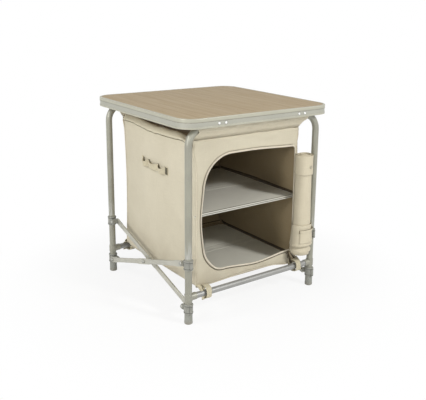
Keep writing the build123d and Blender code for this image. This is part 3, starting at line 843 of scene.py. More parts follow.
def covered_board(shelf, half, front_gap=0.0, rear_gap=0.0):
    node = f"{shelf}_{half}_leaf"
    low, high = box_mm(node)
    low += Vector((board_side_gap, front_gap, 0))
    high -= Vector((board_side_gap, rear_gap, 0))
    middle = (low + high) / 2
    bm = bmesh.new()
    bmesh.ops.create_grid(bm, x_segments=1, y_segments=1, size=0.5)
    bmesh.ops.scale(bm, verts=bm.verts, vec=(high.x - low.x, high.y - low.y, 1))
    bmesh.ops.translate(bm, verts=bm.verts, vec=(middle.x, middle.y, low.z))
    if rear_gap:
        soften(bm, [vert for vert in bm.verts if vert.co.y > middle.y], board_corner, 6, "VERTICES")
    made = bmesh.ops.extrude_face_region(bm, geom=bm.faces[:])["geom"]
    raised = [item for item in made if isinstance(item, bmesh.types.BMVert)]
    bmesh.ops.translate(bm, verts=raised, vec=(0, 0, high.z - low.z))
    bmesh.ops.recalc_face_normals(bm, faces=bm.faces)
    rims = [edge for edge in bm.edges if abs(edge.verts[0].co.z - edge.verts[1].co.z) < 1e-4]
    soften(bm, rims, board_edge, 3)
    return make_piece(f"{shelf}_board_{half}", bm, f"{shelf}_{half}", [node])


def soft_hinge(shelf):
    node = shelf + "_hinge_strip"
    low, high = box_mm(node)
    middle = (low.z + high.z) / 2

    def rule(across, deep):
        return Vector((across, deep, middle + 2.4 - 1.2 * hump(0, 17, deep)))

    bm = cut_sheet(high.x - low.x - 2 * board_side_gap, 33.2, 4, rule, (0, 0, 1))
    return make_piece(shelf + "_soft_hinge", bm, FRONT, [node], 0.8)


boards = []
for shelf, rear_gap in (("shelf", 5.0), ("floor", 20.0)):
    boards += [covered_board(shelf, "front", front_gap=1.4), covered_board(shelf, "rear", rear_gap=rear_gap)]
hinge_strips = [soft_hinge("shelf"), soft_hinge("floor")]

# %% [markdown]
# ## Tapes inside the bag
# Where the boards meet the walls, a dark tape is sewn to the cloth. With the gap beside the boards it makes
# the dark line that shows inside round the shelf and the floor: painted shade that deepens the gap's shade.

# %% Lay the tapes along the walls
tape_gap = 1.7


def lay_tape(name, body, start, end, low, high, wall, inward):
    def rule(along, up):
        place = wall(along + (start + end) / 2, (low + high) / 2 + up)
        return round_rear_edge(place) + Vector(inward) * tape_gap

    return make_piece(name, cut_sheet(end - start, high - low, 5, rule, inward), body, thickness=0.7)


def side_tape(side_name, side, shelf, end, low, high):
    return lay_tape(f"{side_name}_{shelf}_tape", FRONT, -183, end, low, high,
                    lambda y, z: side_wall(side, y, z), (-side, 0, 0))


side_tapes = [side_tape(*hand, *tape) for tape in (("shelf", 183, 275, 286), ("floor", 181, 89, 97))
              for hand in SIDES]
rear_tapes = [lay_tape(f"rear_{shelf}_tape", REAR, -172, 172, low, high, rear_wall, (0, -1, 0))
              for shelf, low, high in (("shelf", 275, 286), ("floor", 87, 95))]

# %% [markdown]
# ## Stitches and seams
# A sewn bag is read by its stitches. A stitch is a short, fat bit of thread, so a small icosphere that is
# stretched along the seam is enough, repeated every few millimetres. The corner seams are a thin bead of
# folded cloth: a circle that is extruded from point to point along the edge.

# %% A row of stitches and a seam bead
stitch_shape = Matrix.Diagonal((1.4, 0.36, 0.32, 1))


def sew(bm, path, out, pitch=3.8):
    spent = pitch / 2
    for start, end in zip(path, path[1:]):
        along = end - start
        way = along.normalized()
        side = Vector(out).cross(way).normalized()
        turn = Matrix((way, side, way.cross(side))).transposed().to_4x4()
        while spent <= along.length:
            stand = Matrix.Translation(start + way * spent) @ turn @ stitch_shape
            bmesh.ops.create_icosphere(bm, subdivisions=1, radius=1.0, matrix=stand)
            spent += pitch
        spent -= along.length


def seam_bead(bm, path, radius):
    way = (path[1] - path[0]).to_track_quat("Z", "Y").to_matrix().to_4x4()
    ring = bmesh.ops.create_circle(bm, cap_ends=False, segments=8, radius=radius,
                                   matrix=Matrix.Translation(path[0]) @ way)["verts"]
    for last, place in zip(path, path[1:]):
        ring = grow_outline(bm, ring)
        bmesh.ops.translate(bm, verts=ring, vec=place - last)
    bmesh.ops.holes_fill(bm, edges=[edge for edge in bm.edges if edge.is_boundary], sides=0)
    bmesh.ops.recalc_face_normals(bm, faces=bm.faces)


def steps(low, high, pitch=6.0):
    count = max(2, round(abs(high - low) / pitch))
    return [low + (high - low) * number / count for number in range(count + 1)]


# %% Stitches of the front
def outline_path(grow, lift):
    bm = bmesh.new()
    around = opening_outline(bm)
    path = [hang_front(*(vert.co + way * grow + Vector((0, -lift, 0))))
            for vert, way in zip(around, outward_ways(around))]
    bm.free()
    return path + path[:1]


to_front, to_rear = (0, -1, 0), (0, 1, 0)
seam_rows = (474.0, 470.5)
thread_off = 0.2
thread_y = panel_front - thread_off

front_thread = bmesh.new()
for z in seam_rows:
    sew(front_thread, [hang_front(x, thread_y, z) for x in steps(-166, 166)], to_front)
for x in (-171.0, 171.0):
    sew(front_thread, [hang_front(x, thread_y, z) for z in steps(86, 468)], to_front)
sew(front_thread, [hang_front(x, thread_y, bag_floor + 5) for x in steps(-168, 168)], to_front)
sew(front_thread, outline_path(2.0, 2.0), to_front, 3.2)
sew(front_thread, outline_path(11.5, thread_off), to_front)
front_stitches = make_piece("front_stitches", front_thread, FRONT)

# %% Stitches of the rear and the sides
rear_thread = bmesh.new()
off = Vector((0, thread_off, 0))
for z in seam_rows:
    sew(rear_thread, [rear_wall(x, z) + off for x in steps(-166, 166)], to_rear)
for x in (-171.0, 171.0):
    sew(rear_thread, [rear_wall(x, z) + off for z in steps(116, 468)], to_rear)
rear_stitches = make_piece("rear_stitches", rear_thread, REAR)

side_stitches = []
for side_name, side in SIDES:
    side_thread = bmesh.new()
    off = Vector((side * thread_off, 0, 0))
    sew(side_thread, [side_wall(side, y, 455) + off for y in steps(-184, 184)], (side, 0, 0))
    for y, low in ((-185.0, 92), (184.0, 116)):
        sew(side_thread, [side_wall(side, y, z) + off for z in steps(low, 455)], (side, 0, 0))
    side_stitches.append(make_piece(side_name + "_stitches", side_thread, FRONT))

# %% Seam beads on the upright edges
front_bead, rear_bead = bmesh.new(), bmesh.new()
for x in (-half_bag, half_bag):
    seam_bead(front_bead, [hang_front(x, panel_front + 0.1, z) for z in steps(84, 470)], 0.8)
    seam_bead(rear_bead, [round_rear_edge(rear_wall(x, z)) for z in steps(86, 470)], 1.3)
seam_bead(front_bead, [hang_front(x, panel_front - 0.3, bag_floor - 0.4) for x in steps(-174, 174)], 1.2)
front_seams = make_piece("front_seams", front_bead, FRONT)
rear_seams = make_piece("rear_seams", rear_bead, REAR)

# %% [markdown]
# ## Dark beads for shadow lines
# A brown bead under the roof's lip and a dark bead along the top of the lower band's tab paint the shadow
# lines there. Both are the same kind of bead as the corner seams. The tab's edge is found on its own mesh.

# %% Dark beads that paint the shadow lines under the roof's lip and on the tab
lip_shade_mesh = bmesh.new()
for _, side in SIDES:
    off = Vector((side * 0.9, 0, 0))
    seam_bead(lip_shade_mesh, [side_wall(side, y, hem_height(y) - 0.4) + off for y in steps(-184, 186)], 1.0)
lip_shade_piping = make_piece("lip_shade_piping", lip_shade_mesh, FRONT)

tab_top = max(vert.co.z for vert in lower_tab.data.vertices)
rim = [vert.co / MM for vert in lower_tab.data.vertices if vert.co.z > tab_top - 3 * MM]
rim.sort(key=lambda place: math.atan2(place.y - roll_y, place.x - roll_x))
rim = [place for place, after in zip(rim, rim[1:]) if (after - place).length > 1.5][:16]
tab_shade_mesh = bmesh.new()
seam_bead(tab_shade_mesh, [rim[0] - Vector((0, 0, 9)), rim[0] - Vector((0, 0, 4))] + rim, 1.1)
tab_shade_edge = make_piece("tab_shade_edge", tab_shade_mesh, FRONT)

# %% [markdown]
# ## The cloth between the frames
# The cloth between the two frames can't stay as long as it is when they come together. It crumples in
# real life. Here it, and everything that is sewn to it, only gets a mesh of its own.

# %% Give the cloth between the frames its own mesh
sewn_to_sides = handles + handle_shade_tacks + side_tapes + side_stitches
for piece in [bag_sides, bag_roof, lip_shade_piping] + hinge_strips + sewn_to_sides:
    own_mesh(piece)

# %% [markdown]
# ## The opening's area
# The front panel's cut has the opening taken out of it, and the opening's area is worked out here.

opening_area = (opening_right - opening_left) * (opening_high - opening_low)
opening_area -= (1 - math.pi / 4) * sum(radius ** 2 for radius in opening_radii)
[rear_stitches, rear_seams] + rear_tapes + rear_straps

# %% [markdown]
# # Finishes
# Every finish is built from nodes, with no pictures. A value that flows from node to node is wrapped in
# a small class, so that `a * 0.4 + b` adds the Math nodes that do it and the recipes below read like
# formulas. The other helpers spread a value smoothly between two limits, mix colours, stretch space and
# make clouds. A plain number goes on the shader's own socket.


# %% Values that flow through nodes
def add_node(tree, kind, feeds=None, **settings):
    node = tree.nodes.new("ShaderNode" + kind)
    for name, value in settings.items():
        setattr(node, name, value)
    for socket, value in (feeds or {}).items():
        feed(tree, node.inputs[socket], value)
    return node


def feed(tree, socket, value):
    if isinstance(value, Flow):
        tree.links.new(value.socket, socket)
    else:
        socket.default_value = value


class Flow:
    """A value on its way through a node tree."""

    def __init__(self, tree, socket):
        self.tree, self.socket = tree, socket

    def through(self, kind, feeds, output=0, **settings):
        return Flow(self.tree, add_node(self.tree, kind, feeds, **settings).outputs[output])

    def reckon(self, operation, *values):
        return self.through("Math", dict(enumerate(values)), operation=operation)

    def __add__(self, other):
        return self.reckon("ADD", self, other)

    def __sub__(self, other):
        return self.reckon("SUBTRACT", self, other)

    def __rsub__(self, other):
        return self.reckon("SUBTRACT", other, self)

    def __mul__(self, other):
        return self.reckon("MULTIPLY", self, other)

    def __rtruediv__(self, other):
        return self.reckon("DIVIDE", other, self)

    def __abs__(self):
        return self.reckon("ABSOLUTE", self)


def spread(value, low, high, new_low=0.0, new_high=1.0):
    feeds = dict(enumerate((value, low, high, new_low, new_high)))
    return value.through("MapRange", feeds, interpolation_type="SMOOTHSTEP")


def beat(value, length):
    """A wave from 0 to 1 that comes back after a length."""
    turn = value * (2 * math.pi / length)
    return turn.reckon("SINE", turn) * 0.5 + 0.5


def tint(share, first, second, blend="MIX"):
    feeds = {number: (*value, 1) if isinstance(value, tuple) else value
             for number, value in ((0, share), (6, first), (7, second))}
    return share.through("Mix", feeds, 2, data_type="RGBA", blend_type=blend)


def on_vectors(operation, first, second, output=0):
    return first.through("VectorMath", {0: first, 1: second}, output, operation=operation)


def stretch(place, factors):
    return on_vectors("MULTIPLY", place, factors)


def cloudy(place, scale, detail=2.0, output=0):
    return place.through("TexNoise", {"Vector": place, "Scale": scale, "Detail": detail}, output)


def wavy(place, output=1, direction="DIAGONAL", **feeds):
    feeds = {socket.replace("_", " "): value for socket, value in feeds.items()}
    return place.through("TexWave", {"Vector": place, **feeds}, output, bands_direction=direction)


def split(place):
    return [Flow(place.tree, socket) for socket in add_node(place.tree, "SeparateXYZ", {0: place}).outputs]


# %% Groups and finishes
def new_group(name, takes, gives):
    group = bpy.data.node_groups.new(name, "ShaderNodeTree")
    for way, sockets in (("INPUT", takes), ("OUTPUT", gives)):
        for label, kind in sockets.items():
            group.interface.new_socket(label, in_out=way, socket_type="NodeSocket" + kind)
    inlet, outlet = (group.nodes.new("NodeGroup" + end) for end in ("Input", "Output"))
    return group, {socket.name: Flow(group, socket) for socket in inlet.outputs}, outlet.inputs


def use_group(group, **feeds):
    tree = feeds["Place"].tree
    node = add_node(tree, "Group", feeds, node_tree=group)
    return {socket.name: Flow(tree, socket) for socket in node.outputs}


class Finish:
    """A new material, with its plain numbers on the shader's sockets."""

    def __init__(self, name, **constants):
        self.material = bpy.data.materials.new(name)
        self.material.use_nodes = True
        self.tree = self.material.node_tree
        self.sockets = self.tree.nodes["Principled BSDF"].inputs
        for socket, value in constants.items():
            self.sockets[socket.replace("_", " ")].default_value = value

    def place(self):
        """The place on the object, in metres."""
        return Flow(self.tree, add_node(self.tree, "TexCoord").outputs["Object"])

    def flat(self):
        """The place on the flat cut of the cloth, in metres."""
        return Flow(self.tree, add_node(self.tree, "UVMap", uv_map="flat").outputs[0])

    def complete(self, colour, height, depth, roughness=None):
        feed(self.tree, self.sockets["Base Color"], colour)
        if roughness is not None:
            feed(self.tree, self.sockets["Roughness"], roughness)
        bump = height.through("Bump", {"Height": height, "Distance": depth, "Strength": 1.0})
        feed(self.tree, self.sockets["Normal"], bump)
        return self.material


# %% [markdown]
# ## A plain weave
# Canvas is woven one over, one under. Two sine waves multiplied give that chequer of rounded crossings,
# at the real pitch of the threads. The threads are spun unevenly, so long thin streaks of tone run along
# both of them, and they wander a little.

# %% Group: plain weave
weave_group, takes, gives = new_group(
    "plain_weave", {"Place": "Vector", "Thread": "Float"}, {"Height": "Float", "Tone": "Float"})
wander = stretch(cloudy(takes["Place"], 150.0, 1.0, 1), (0.0008, 0.0008, 0.0))
woven = on_vectors("ADD", takes["Place"], wander)
turns = split(woven.through("VectorMath", {0: woven, "Scale": math.pi / takes["Thread"]}, operation="SCALE"))
over, under = (turn.reckon("SINE", turn) for turn in turns[:2])
feed(weave_group, gives["Height"], over * under * 0.5 + 0.5)
warp, weft = (cloudy(stretch(woven, way), 1.0, 1.0) for way in ((30.0, 900.0, 1.0), (900.0, 30.0, 1.0)))
feed(weave_group, gives["Tone"], (warp + weft) * 0.5)

# %% [markdown]
# ## Age: soft stains, rubbed edges, scuffs
# Three effects come back on many finishes. Blotches are broad, faint changes of tone. Rubbed edges are
# found by comparing the surface's normal with the one that a rounded edge would have. Scuffs are fine
# scratches that lie along the piece.

# %% Groups: blotches, rubbed edges, scuffs
blotch_group, takes, gives = new_group("blotches", {"Place": "Vector", "Size": "Float"}, {"Tone": "Float"})
feed(blotch_group, gives["Tone"], spread(cloudy(takes["Place"], 1.0 / takes["Size"], 3.0), 0.25, 0.75))

edge_group, takes, gives = new_group("rubbed_edges", {"Width": "Float", "Place": "Vector"}, {"Mask": "Float"})
rounded = takes["Width"].through("Bevel", {"Radius": takes["Width"]}, samples=6)
true_normal = rounded.through("NewGeometry", {}, "Normal")
bent = spread(on_vectors("DOT_PRODUCT", rounded, true_normal, "Value"), 0.985, 0.86)
feed(edge_group, gives["Mask"], bent * spread(cloudy(takes["Place"], 160.0, 3.0), 0.36, 0.62))

scuff_group, takes, gives = new_group("scuffs", {"Place": "Vector", "Along": "Vector"}, {"Mask": "Float"})
lines = spread(cloudy(stretch(takes["Place"], takes["Along"]), 1.0), 0.62, 0.74)
feed(scuff_group, gives["Mask"], lines * spread(cloudy(takes["Place"], 16.0), 0.52, 0.68))


def blotches(place, size):
    return use_group(blotch_group, Place=place, Size=size)["Tone"]


def rubbed_edges(place, width):
    return use_group(edge_group, Place=place, Width=width)["Mask"]


def scuffs(place, along):
    return use_group(scuff_group, Place=place, Along=along)["Mask"]


# %% [markdown]
# ## Canvas and its lining
# The bag is cream polyester canvas, about seven threads in five millimetres, with a duller coated inside.
# The tone of single threads shows close up, and broad faint blotches show from afar. The cloth is a touch
# darker towards the bottom of the bag.

# %% Canvas
canvas_thread = 0.00072


def cloth_finish(name, light, dark, thread, roughness, low_darkening):
    finish = Finish(name, Roughness=roughness, Sheen_Weight=0.12, Sheen_Roughness=0.5, Specular_IOR_Level=0.25)
    place, flat = finish.place(), finish.flat()
    weave = use_group(weave_group, Place=flat, Thread=thread)
    tone = spread(weave["Tone"], 0.3, 0.7) * 0.45 + blotches(place, 0.09) * 0.4
    colour = tint(tone, light, dark)
    # Painted shade: the weave's hollows between the threads are darkened.
    colour = tint((1.0 - weave["Height"]) * 0.16, colour, dark, "MULTIPLY")
    # Darker towards the bottom of the bag.
    darker_below = spread(split(place)[2], 0.20, 0.09) * spread(cloudy(place, 26.0, 4.0), 0.3, 0.7)
    colour = tint(darker_below * low_darkening, colour, (0.36, 0.29, 0.20))
    return finish.complete(colour, weave["Height"] * 0.09 + cloudy(flat, 30.0, 3.0) * 0.9, 0.001)


canvas = cloth_finish("cream_canvas", (0.655, 0.605, 0.475), (0.56, 0.51, 0.39), canvas_thread, 0.82, 0.22)
lining = cloth_finish("lining", (0.372, 0.295, 0.178), (0.29, 0.222, 0.125), canvas_thread, 0.7, 0.1)
door_cloth = cloth_finish("door_cloth", (0.67, 0.61, 0.465), (0.56, 0.50, 0.37), canvas_thread, 0.82, 0.12)
# Painted light: the sleeves and the roof's slopes wear lighter copies of the canvas, against the shade under
# the table top.
sleeve_painted_light = cloth_finish("sleeve_painted_light", (0.75, 0.69, 0.54), (0.65, 0.59, 0.45), canvas_thread, 0.82, 0.0)
slope_painted_light = cloth_finish("slope_painted_light", (0.70, 0.65, 0.495), (0.60, 0.55, 0.41), canvas_thread, 0.82, 0.0)
board_cloth = cloth_finish("board_cloth_strip", (0.69, 0.675, 0.59), (0.58, 0.565, 0.49), 0.0009, 0.75, 0.0)

# %% [markdown]
# ## Narrow goods: tape, webbing, zip, thread
# Tape and webbing are woven with strong ribs. On tape the ribs run across, on webbing they slant like a
# twill. The zip is a coil, so its teeth are a regular beat along its length. All of these follow the
# strip's own UV map. Thread and the brown piping are twisted, which a slanting wave shows; the piping
# paints shadow lines.


# %% Ribbed strips
def strip_finish(name, light, dark, pitch, slant, roughness):
    finish = Finish(name, Roughness=roughness, Sheen_Weight=0.1, Sheen_Roughness=0.5)
    flat = finish.flat()
    across, along, _ = split(flat)
    rib = beat(along * slant + across, pitch)
    fluff = cloudy(flat, 700.0)
    share = rib * 0.4 + fluff * 0.3 + blotches(finish.place(), 0.03) * 0.3
    return finish.complete(tint(share, dark, light), fluff * 0.3 + rib, 0.00022)


tape = strip_finish("binding_tape", (0.80, 0.735, 0.60), (0.66, 0.595, 0.47), 0.0011, 0.0, 0.8)
webbing = strip_finish("webbing", (0.66, 0.60, 0.435), (0.48, 0.425, 0.29), 0.0016, 0.9, 0.78)
# Painted shade: the dark tape makes the dark line where the boards meet the walls.
dark_shade_tape = strip_finish("dark_shade_tape", (0.085, 0.060, 0.026), (0.045, 0.031, 0.013), 0.0012, 0.0, 0.95)
# Painted shade: thread for the dark tacks on the handles.
tack_shade_thread = strip_finish("bar_tack_shade_thread", (0.105, 0.092, 0.05), (0.05, 0.043, 0.022), 0.0008, 0.3, 0.7)

# %% The zip and its tail
tooth_pitch = 0.0014

finish = Finish("zip_coil", Roughness=0.45)
place = finish.place()
tooth = beat(split(finish.flat())[0], tooth_pitch)
teeth = tint(tooth * 0.7, (0.085, 0.066, 0.036), (0.19, 0.155, 0.095))
teeth = tint(blotches(place, 0.05) * 0.35, teeth, (0.22, 0.18, 0.12))
covered = spread(split(place)[2], 0.30, 0.42)
coil = finish.complete(tint(covered * 0.75, teeth, (0.50, 0.44, 0.33)), tooth, 0.0005)

finish = Finish("zip_tail_tape", Roughness=0.75)
flat = finish.flat()
across, along, _ = split(flat)
teeth_side = spread(abs(across), 0.0018, 0.0030)
tooth = beat(along, tooth_pitch)
edge_colour = tint(tooth, (0.060, 0.045, 0.024), (0.13, 0.10, 0.06))
middle_colour = tint(cloudy(flat, 500.0), (0.30, 0.24, 0.15), (0.42, 0.35, 0.24))
tail_tape = finish.complete(tint(teeth_side, middle_colour, edge_colour), teeth_side * tooth, 0.0005)


# %% Sewing thread, and brown piping that paints shadow lines
def twisted_finish(name, dark, light, scale, distortion, depth, **constants):
    finish = Finish(name, **constants)
    strands = wavy(finish.place(), Scale=scale, Distortion=distortion)
    return finish.complete(tint(strands, dark, light), strands, depth)


thread = twisted_finish("sewing_thread", (0.58, 0.515, 0.39), (0.74, 0.67, 0.52), 900.0, 1.5, 0.0001,
                        Roughness=0.6, Sheen_Weight=0.15)
# Painted shade: the dark piping stands for the shadow lines under the roof's lip and along the tab's top.
piping_painted_shade = twisted_finish("brown_shade_piping", (0.12, 0.10, 0.055), (0.24, 0.20, 0.125), 500.0, 2.0, 0.0002,
                              Roughness=0.85)

# %% [markdown]
# ## Covered boards
# The boards wear a grey coated cloth, pulled tight over a thin panel. A stitch line lies a few
# millimetres in from their sides, a dark line along the shelf's front edge is painted shade of the gap
# between board and rail, and the surface is slightly quilted by the glue.

# %% Board cover
stitch_line, stitch_pitch = 0.1625, 0.0042
finish = Finish("board_cover", Roughness=0.62, Sheen_Weight=0.08, Specular_IOR_Level=0.3)
place = finish.place()
weave = use_group(weave_group, Place=place, Thread=0.0011)
grey = tint(weave["Tone"] * 0.6 + blotches(place, 0.07) * 0.4, (0.70, 0.685, 0.60), (0.585, 0.57, 0.495))
x, y, z = split(place)
dash = spread(beat(y, stitch_pitch), 0.25, 0.4)
sewn = spread(abs(abs(x) - stitch_line), 0.0008, 0.0004) * dash
grey = tint(sewn * 0.5, grey, (0.80, 0.78, 0.70))
# Painted shade: the gap between the shelf board and its rail.
front_edge_shade = spread(y, -0.1795, -0.1815) * spread(z, 0.27, 0.274)
grey = tint(front_edge_shade * 0.85, grey, (0.13, 0.115, 0.08))
cover = finish.complete(grey, weave["Height"] * 0.05 + sewn * 0.25 + cloudy(place, 55.0) * 0.5, 0.001)

# %% [markdown]
# ## The table top
# The board is a thin panel with a printed oak laminate. The grain runs from front to back. Long noise
# that is stretched along it gives fibres, a distorted wave gives the growth rings of plain-sawn boards,
# and short dark dashes are the pores. A satin coat lies over it, with faint wipe marks.

# %% Oak laminate
finish = Finish("oak_laminate", Coat_Weight=0.03, Coat_Roughness=0.35, Specular_IOR_Level=0.2)
place = finish.place()
drift = stretch(cloudy(stretch(place, (3.0, 1.0, 1.0)), 3.0, 2.0, 1), (0.05, 0.02, 0.0))
rings = wavy(stretch(on_vectors("ADD", place, drift), (1.0, 0.05, 1.0)), direction="X", Scale=11.0,
             Distortion=7.0, Detail=3.0, Detail_Scale=1.4)
fibres = cloudy(stretch(place, (420.0, 9.0, 1.0)), 1.0, 4.0)
hairs = cloudy(stretch(place, (1500.0, 40.0, 1.0)), 1.0)
pores = spread(hairs, 0.63, 0.72) * spread(rings, 0.2, 0.8, 0.3, 1.0)
broad = cloudy(stretch(place, (26.0, 2.2, 1.0)), 1.0)
wood = tint(spread(rings, 0.1, 0.9), (0.402, 0.300, 0.164), (0.368, 0.268, 0.142))
wood = tint(spread(fibres, 0.35, 0.68, 0.0, 0.5), wood, (0.315, 0.225, 0.110))
wood = tint(spread(broad, 0.40, 0.66, 0.0, 0.4), wood, (0.415, 0.318, 0.180))
wood = tint(pores * 0.55, wood, (0.215, 0.150, 0.070))
gloss = scuffs(place, (30.0, 700.0, 1.0)) * 0.16 + spread(fibres, 0.3, 0.7, 0.42, 0.54)
oak = finish.complete(wood, fibres * 0.25 - pores, 0.00012, gloss)

# %% [markdown]
# ## Drawn aluminium: edging and rail
# The edging is drawn through a die, so fine lines run along it all the way round, at constant height.
# The band in its face is a touch darker, its corners are rubbed bright, and a fine dark ring stands round
# each rivet head, partly dirt and partly painted shade of the gap. A dark line in the edging's groove and
# one along the rail are painted shade of grooves.

# %% Drawn metal
rail_groove, edging_groove = 0.2757, 0.5308
rivet_pair, rivet_half_gap, rivet_height = 0.131, 0.010, 0.5245


def drawn_metal(name, light, dark, lines, metallic, rivets=False):
    finish = Finish(name, Metallic=metallic)
    place = finish.place()
    streak = cloudy(stretch(place, lines), 1.0, 3.0)
    colour = tint(spread(streak, 0.3, 0.7) * 0.55 + blotches(place, 0.06) * 0.35, dark, light)
    x, y, z = split(place)
    if not rivets:
        # Painted shade: a dark line for the rail's groove.
        colour = tint(spread(abs(z - rail_groove), 0.0014, 0.0008, 0.0, 0.85), colour, (0.10, 0.09, 0.07))
    else:
        band = spread(z, 0.5186, 0.5198) * spread(z, 0.5304, 0.5292)
        colour = tint(band * 0.30, colour, (0.30, 0.31, 0.31))
        # Painted shade: a dark line in the edging's groove.
        colour = tint(spread(abs(z - edging_groove), 0.0017, 0.0005, 0.0, 0.7), colour, (0.19, 0.18, 0.15))
        # A fine dark ring round each rivet head: partly dirt, partly painted shade of the gap.
        off_x = abs(abs(x) - rivet_pair) - rivet_half_gap
        off_z = z - rivet_height
        square = off_x * off_x + off_z * off_z
        grime_and_shade = spread(square.reckon("SQRT", square), 0.0056, 0.0040) * spread(abs(y), 0.2395, 0.2410)
        colour = tint(grime_and_shade * 0.62, colour, (0.16, 0.155, 0.14))
    colour = tint(rubbed_edges(place, 0.0009) * 0.6, colour, (0.74, 0.74, 0.71))
    return finish.complete(colour, streak, 0.00006, spread(streak, 0.3, 0.7, 0.34, 0.52))


edging = drawn_metal("edging_metal", (0.49, 0.48, 0.385), (0.41, 0.40, 0.32), (6.0, 6.0, 1500.0), 0.35, True)
rail_metal = drawn_metal("rail_aluminium", (0.66, 0.65, 0.57), (0.55, 0.54, 0.47), (6.0, 900.0, 900.0), 0.3)

# %% [markdown]
# ## Coated tube, moulded plastic, pressed braces, rivets
# The tubes have a silver-grey powder coat: a fine orange-peel surface, a few scuffs along the tube, and
# rubbed bands where the collars slide. The collars and feet are moulded plastic with a fine matt grain,
# dark lines above and below the rivets that are painted shade of grooves, and paler edges. The braces are
# pressed from tube and coated, and the rivets are bare steel.


# %% Coated metal
def coated_metal(name, colour, shadow, along, metallic, slides=False):
    finish = Finish(name, Metallic=metallic, Coat_Weight=0.3, Coat_Roughness=0.28)
    place = finish.place()
    cloud = blotches(place, 0.05)
    coat = tint(cloud, colour, shadow)
    coat = tint(spread(cloudy(place, 1600.0, 1.0), 0.66, 0.74) * 0.35, coat, (0.62, 0.62, 0.58))
    wear = scuffs(place, along) * 0.5
    if slides:
        height = split(place)[2]
        rub = spread(height, 0.176, 0.182) * spread(height, 0.235, 0.190)
        rub *= spread(cloudy(stretch(place, (260.0, 260.0, 30.0)), 1.0, 3.0), 0.42, 0.62)
        wear = wear.reckon("MAXIMUM", wear, rub * 0.5)
        darker_below = spread(height, 0.11, 0.02) * spread(cloudy(place, 60.0, 4.0), 0.35, 0.7)
        coat = tint(darker_below * 0.35, coat, (0.25, 0.22, 0.17))
    coat = tint(wear, coat, (0.60, 0.60, 0.57))
    coat = tint(rubbed_edges(place, 0.0007) * 0.55, coat, (0.66, 0.66, 0.62))
    return finish.complete(coat, cloudy(place, 900.0), 0.00005, cloud * 0.10 + wear * -0.1 + 0.36)


tube_coat = coated_metal("tube_coat", (0.335, 0.33, 0.265), (0.28, 0.275, 0.225), (900.0, 900.0, 14.0), 0.25,
                         slides=True)
bar_coat = coated_metal("bar_coat", (0.32, 0.32, 0.305), (0.27, 0.27, 0.255), (14.0, 900.0, 900.0), 0.25)
brace_coat = coated_metal("brace_coat", (0.47, 0.46, 0.39), (0.41, 0.40, 0.34), (900.0, 14.0, 60.0), 0.25)

# %% Moulded plastic
collar_heights, groove_off = (0.042, 0.162), 0.0088


def moulded_plastic(name, colour, shadow):
    finish = Finish(name, Specular_IOR_Level=0.45)
    place = finish.place()
    grain = place.through("TexVoronoi", {"Vector": place, "Scale": 1300.0})
    body = tint(blotches(place, 0.02), colour, shadow)
    body = tint(scuffs(place, (500.0, 500.0, 500.0)) * 0.4, body, (0.46, 0.46, 0.42))
    height = split(place)[2]
    # Painted shade: dark lines above and below the rivets where the collars' grooves are.
    for middle in collar_heights:
        groove = abs(abs(height - middle) - groove_off)
        body = tint(spread(groove, 0.0014, 0.0006, 0.0, 0.75), body, (0.07, 0.07, 0.06))
    darker_below = spread(height, 0.016, 0.002) * spread(cloudy(place, 220.0, 3.0), 0.3, 0.6)
    body = tint(darker_below * 0.5, body, (0.24, 0.20, 0.15))
    body = tint(rubbed_edges(place, 0.0008) * 0.6, body, (0.56, 0.56, 0.52))
    return finish.complete(body, grain, 0.00006, spread(grain, 0.0, 0.6, 0.46, 0.58))


collar_plastic = moulded_plastic("collar_plastic", (0.31, 0.31, 0.275), (0.25, 0.25, 0.22))
foot_plastic = moulded_plastic("foot_plastic", (0.32, 0.325, 0.29), (0.26, 0.265, 0.235))


# %% Bare steel
def bare_steel(name, light, dark, roughness):
    finish = Finish(name, Metallic=0.6)
    place = finish.place()
    hammer = cloudy(place, 420.0, 3.0)
    colour = tint(spread(hammer, 0.3, 0.7), dark, light)
    colour = tint(rubbed_edges(place, 0.0005) * 0.5, colour, (0.92, 0.92, 0.90))
    return finish.complete(colour, hammer, 0.00008, spread(hammer, 0.3, 0.7, roughness - 0.08, roughness + 0.1))


rivet_steel = bare_steel("dull_rivet", (0.40, 0.40, 0.36), (0.30, 0.30, 0.27), 0.5)
edge_rivet_steel = bare_steel("edge_rivet_steel", (0.93, 0.93, 0.91), (0.80, 0.80, 0.78), 0.3)
clip_steel = bare_steel("clip_steel", (0.60, 0.60, 0.57), (0.46, 0.46, 0.43), 0.38)
snap_metal = bare_steel("snap_metal", (0.50, 0.46, 0.36), (0.38, 0.345, 0.26), 0.45)
dark_metal = bare_steel("dark_metal", (0.26, 0.225, 0.165), (0.14, 0.12, 0.085), 0.4)

# %% [markdown]
# ## Put the finishes on
# Each call below names the record's material slot that its finish belongs to, but the slot is not stored
# on the piece. The cloth's inside is its second material, given to the wall that the thickness adds.


# %% Dress the new pieces
def dress(pieces, slot, *finishes):
    for piece in pieces:
        for material in finishes:
            piece.data.materials.append(material)
        if len(finishes) > 1:
            piece.modifiers["cloth_thickness"].material_offset = 1


dress([front_panel, rear_panel, bag_sides], "canvas", canvas, lining)
# Painted shade: the roof's flat top wears the dark lining on its outside too, so the gap under the table top
# looks dark.
dress([bag_roof], "canvas", slope_painted_light, lining, lining)
for face in bag_roof.data.polygons:
    face.material_index = int(abs(face.center.x) < (roof_flat - 4) * MM)
dress([front_sleeve, rear_sleeve], "canvas", sleeve_painted_light)
dress([door, upper_band, lower_band, lower_tab], "canvas", door_cloth)
dress([front_seams, rear_seams, front_stitches, rear_stitches] + side_stitches, "canvas", thread)
